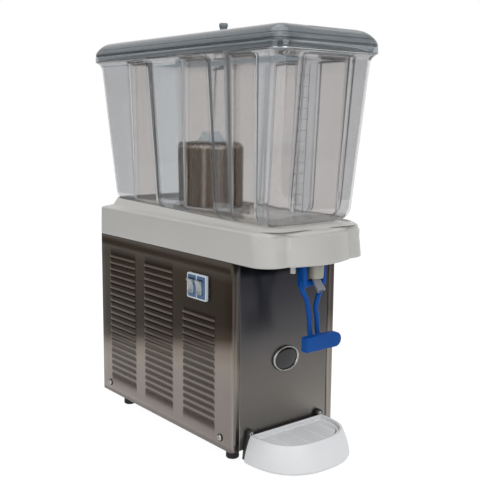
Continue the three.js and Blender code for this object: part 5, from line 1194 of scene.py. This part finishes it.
def makeTray(s=tray):
    # Rows go from the foot up the outside, over the rim, down the recess and the bowl, and back
    foot, footReach, footPower = s["footHalf"], s["footReach"], s["footPower"]
    half, reach, power = s["topHalf"], s["topReach"], s["topPower"]
    back, top, floor = s["back"], s["top"], s["floor"]
    rows = [(foot - 5, footReach - 5, back, floor, footPower),
            (foot - 1.8, footReach - 1.8, back, floor + 1.5, footPower)]
    for t in np.linspace(0, 1, 9):
        swell = math.sin(t * math.pi) * s["swell"]
        rows.append((mix(foot, half, t) + swell, mix(footReach, reach, t) + swell, back,
                     mix(floor + 5, top - 1.3, t), mix(footPower, power, t)))
    rows += [(half - 0.5, reach - 0.5, back, top - 0.3, power),
             (half - 1.4, reach - 1.4, back - 0.8, top, power)]
    # From here each row is further out, ahead and behind than the inner edge of the rim
    seat = top - s["recess"] - s["grilleThickness"]
    lip, lipReach, lipBack = half - s["rim"], reach - 1.6 * s["rim"], back - 2.6
    rows += [(lip + out, lipReach + ahead, lipBack + behind, level, power)
             for out, ahead, behind, level in (
                 (1.0, 1.6, 0.8, top), (0.2, 0.3, 0.1, top - 0.7), (0, 0, 0, seat + 0.3),
                 (-0.4, -0.4, -0.3, seat), (-3.6, -3.6, -2, seat), (-4.4, -4.4, -2, seat - 1),
                 (-12, -12, -3, floor + 8), (-15, -15, -5, floor + 6))]
    rows += [(4, 3, lipBack - 24, floor + 6, power), (4, 3, lipBack - 24, floor + 3, power),
             (foot - 12, footReach - 12, lipBack - 1, floor + 3, 2.6),
             (foot - 8, footReach - 8, back - 1.5, floor + 0.6, 2.6)]
    makePiece("white_tray", [trayRings(rows)], "tray", "tray", ("drip_tray",),
              sharpAngle=30)


def makeGrille(s=tray, g=grille):
    # A flat frame, and slats that run from back to front; each ends on the same round-cornered
    # curve, length = (reach - 5) * (1 - (|x| / (half - 5))^p)^(1/p)
    inset, power = s["rim"] + g["gap"], s["topPower"]
    half, reach, back = s["topHalf"] - inset, s["topReach"] - 1.6 * (s["rim"] + 1), s["back"] - 3.4
    bottom, top = g["bottom"], g["top"]
    parts = [trayRings([(half - side, reach - side, back - behind, level, power)
                        for side, behind, level in (
                            (0, 0, bottom), (0, 0, top - 0.4), (0.4, 0.4, top), (5, 4.6, top),
                            (5.4, 5, top - 0.4), (5.4, 5, bottom))])]
    index = np.arange(-20, 21)
    index = index[np.abs(index * g["pitch"]) < half - 6]
    x = index * g["pitch"]
    rib = (index + g["ribEvery"] // 2) % g["ribEvery"] == 0
    width, crown = [np.where(rib, *pair)[:, None, None] for pair in (g["width"], g["crown"])]
    inner = 1 - (np.abs(x) / (half - g["frame"])) ** power
    length = (reach - g["frame"]) * inner ** (1 / power)
    section = np.array([(-1, -1), (-1, -0.2), (-0.6, 0), (0.6, 0), (1, -0.2), (1, -1)])
    ends = np.stack([np.full(len(x), back - 4.5), back - length - 0.5], 1)
    px = x[:, None, None] + width * section[:, 0]
    pz = top + crown + (top - bottom - 0.4) * section[:, 1] * 0.85
    points = np.stack(np.broadcast_arrays(px, ends[:, :, None], pz), -1)
    ring = np.arange(6)
    around = np.stack([ring, (ring + 1) % 6, (ring + 1) % 6 + 6, ring + 6], -1)
    base = (np.arange(len(x)) * 12)[:, None, None]
    caps = np.stack([ring[::-1], ring + 6])
    parts.append((points.reshape(-1, 3), [(around[None] + base).reshape(-1, 4),
                                          (caps[None] + base).reshape(-1, 6)]))
    makePiece("slatted_grille", parts, "grille", "grille", ("drip_grille",),
              sharpAngle=30)


makeTray()
makeGrille()
ear = np.linspace(-0.15 * math.pi, 1.15 * math.pi, 13)
rightEar = np.stack([68 + 6.2 * np.cos(ear), 46.2 + 6.2 * np.sin(ear)], -1)
bracketOutline = np.vstack([[(-80, 10), (80, 10), (79, 24), (75, 40)], rightEar,
                            [(61, 44), (-61, 44)], rightEar[::-1] * (-1, 1),
                            [(-75, 40), (-79, 24)]])
makePiece("bracket_plate", [slab(bracketOutline, -6.3, -0.3, 0.8, "y")], "cabinet",
          "black", ("tray_bracket",))
print("tray made")

# What stays as the frame has it gets its own finish
kept = {
    "zinc": ("base_plate", "top_frame", "drive_magnet"),
    "blackPaint": ("stirrer_motor", "compressor", "fan_motor"),
    "fins": ("condenser",),
    "black": ("fan_shroud",),
    "grey": ("condenser_fan",),
}
for finish, nodes in kept.items():
    for node in nodes:
        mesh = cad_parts[node].data
        if not mesh.materials:
            mesh.materials.append(finishes[finish])
        for i in range(len(mesh.materials)):
            mesh.materials[i] = finishes[finish]
print("kept nodes finished")


# Studio
studio = dict(floorHalf=6, seen=0.8, floorGlow=1.18, room=0.55, cardHalf=0.5, cardFoot=0.2,
              cardTop=0.62, cardTurn=0.684, aim=(0, 0, 0.35),
              cards=(("left_card", -0.59, 0.63), ("right_card", 0.5, -0.75)),
              lamps=(("front softbox", (-0.3, -2.3, 1.6), 1.4, 16),
                     ("left softbox", (-2.0, -0.6, 1.3), 1.2, 6),
                     ("top softbox", (0.0, 0.2, 2.2), 1.6, 14)))


def seenShare(tree):
    # 1 for rays that look at a thing directly, in a mirror or through plastic, 0 for lighting ones
    rays = addNode(tree, "ShaderNodeLightPath").outputs
    share = rays["Is Camera Ray"]
    for kind in ("Is Glossy Ray", "Is Transmission Ray"):
        share = addNode(tree, "ShaderNodeMath", {0: share, 1: rays[kind]}, operation="MAXIMUM")
    return share


def stageSheet(name, corners, material):
    # One flat sheet of the studio, which is no part of the object
    mesh = bpy.data.meshes.new(name)
    mesh.from_pydata(corners, [], [(0, 1, 2, 3)])
    mesh.materials.append(material)
    sheet = bpy.data.objects.new(name, mesh)
    bpy.context.collection.objects.link(sheet)
    return sheet


def setUpStudio(s=studio):
    # A pale floor, an even white surround and three soft lamps
    made, tree = newMaterial("pale floor")
    glow = addNode(tree, "ShaderNodeMath", {0: seenShare(tree), 1: s["seen"]}, operation="MULTIPLY")
    matt = addNode(tree, "ShaderNodeBsdfDiffuse", {"Color": linear("#f2f2f2")})
    light = addNode(tree, "ShaderNodeEmission", {"Strength": s["floorGlow"]})
    both = addNode(tree, "ShaderNodeMixShader", {0: glow, 1: matt, 2: light})
    addNode(tree, "ShaderNodeOutputMaterial", {"Surface": both})
    far = s["floorHalf"]
    stageSheet("studio_floor", [(-far, -far, 0), (far, -far, 0), (far, far, 0), (-far, far, 0)], made)

    # Dark cards that only reflections see: they keep the clear walls from looking milky
    made, tree = newMaterial("dark card")
    matt = addNode(tree, "ShaderNodeBsdfDiffuse", {"Color": linear("#303236")})
    addNode(tree, "ShaderNodeOutputMaterial", {"Surface": matt})
    half, foot, top = s["cardHalf"], s["cardFoot"], s["cardTop"]
    for name, x, y in s["cards"]:
        card = stageSheet(name, [(-half, 0, foot), (half, 0, foot), (half, 0, top), (-half, 0, top)],
                          made)
        card.location = (x, y, 0)
        card.rotation_euler = (0, 0, s["cardTurn"])
        card.visible_camera = card.visible_diffuse = card.visible_shadow = False
        card.visible_transmission = False

    world = bpy.data.worlds.new("soft room")
    world.use_nodes = True
    bpy.context.scene.world = world
    tree = world.node_tree
    tree.nodes.clear()
    room, white = [addNode(tree, "ShaderNodeBackground", {"Color": (1, 1, 1, 1), "Strength": much})
                   for much in (s["room"], 1.0)]
    both = addNode(tree, "ShaderNodeMixShader", {0: seenShare(tree), 1: room, 2: white})
    addNode(tree, "ShaderNodeOutputWorld", {"Surface": both})

    for name, place, wide, power in s["lamps"]:
        lamp = bpy.data.lights.new(name, "AREA")
        lamp.size, lamp.energy, lamp.shape = wide, power, "SQUARE"
        holder = bpy.data.objects.new(name, lamp)
        holder.location = place
        aim = Vector(s["aim"]) - holder.location
        holder.rotation_euler = aim.to_track_quat("-Z", "Y").to_euler()
        bpy.context.collection.objects.link(holder)


def setUpCamera():
    # The lens and place that the photograph's own edges give
    shot = dict(yaw=38.877, pitch=8.692, roll=0.465, focal=812.68, size=480,
                place=(-776.0, -855.9, 495.1), offset=0.5)
    yaw, pitch, roll = [math.radians(shot[name]) for name in ("yaw", "pitch", "roll")]
    forward = np.array([math.sin(yaw) * math.cos(pitch), math.cos(yaw) * math.cos(pitch),
                        -math.sin(pitch)])
    right = np.cross(forward, (0, 0, 1))
    right /= np.linalg.norm(right)
    up = np.cross(right, forward)
    rightTurned = math.cos(roll) * right + math.sin(roll) * up
    upTurned = math.cos(roll) * up - math.sin(roll) * right
    place = (np.array(shot["place"]) + origin) / 1000
    basis = np.eye(4)
    basis[:3, :3] = np.stack([rightTurned, upTurned, -forward], 1)
    basis[:3, 3] = place
    lens = bpy.data.cameras.new("photo camera")
    lens.sensor_fit, lens.sensor_width = "HORIZONTAL", 36
    lens.lens = shot["focal"] * lens.sensor_width / shot["size"]
    lens.shift_x, lens.shift_y = -shot["offset"] / shot["size"], shot["offset"] / shot["size"]
    camera = bpy.data.objects.new("photo camera", lens)
    camera.matrix_world = Matrix(basis.tolist())
    bpy.context.collection.objects.link(camera)
    bpy.context.scene.camera = camera


setUpStudio()
setUpCamera()
bpy.context.scene.view_settings.view_transform = "Standard"
print("studio ready")

bpy.context.view_layer.update()
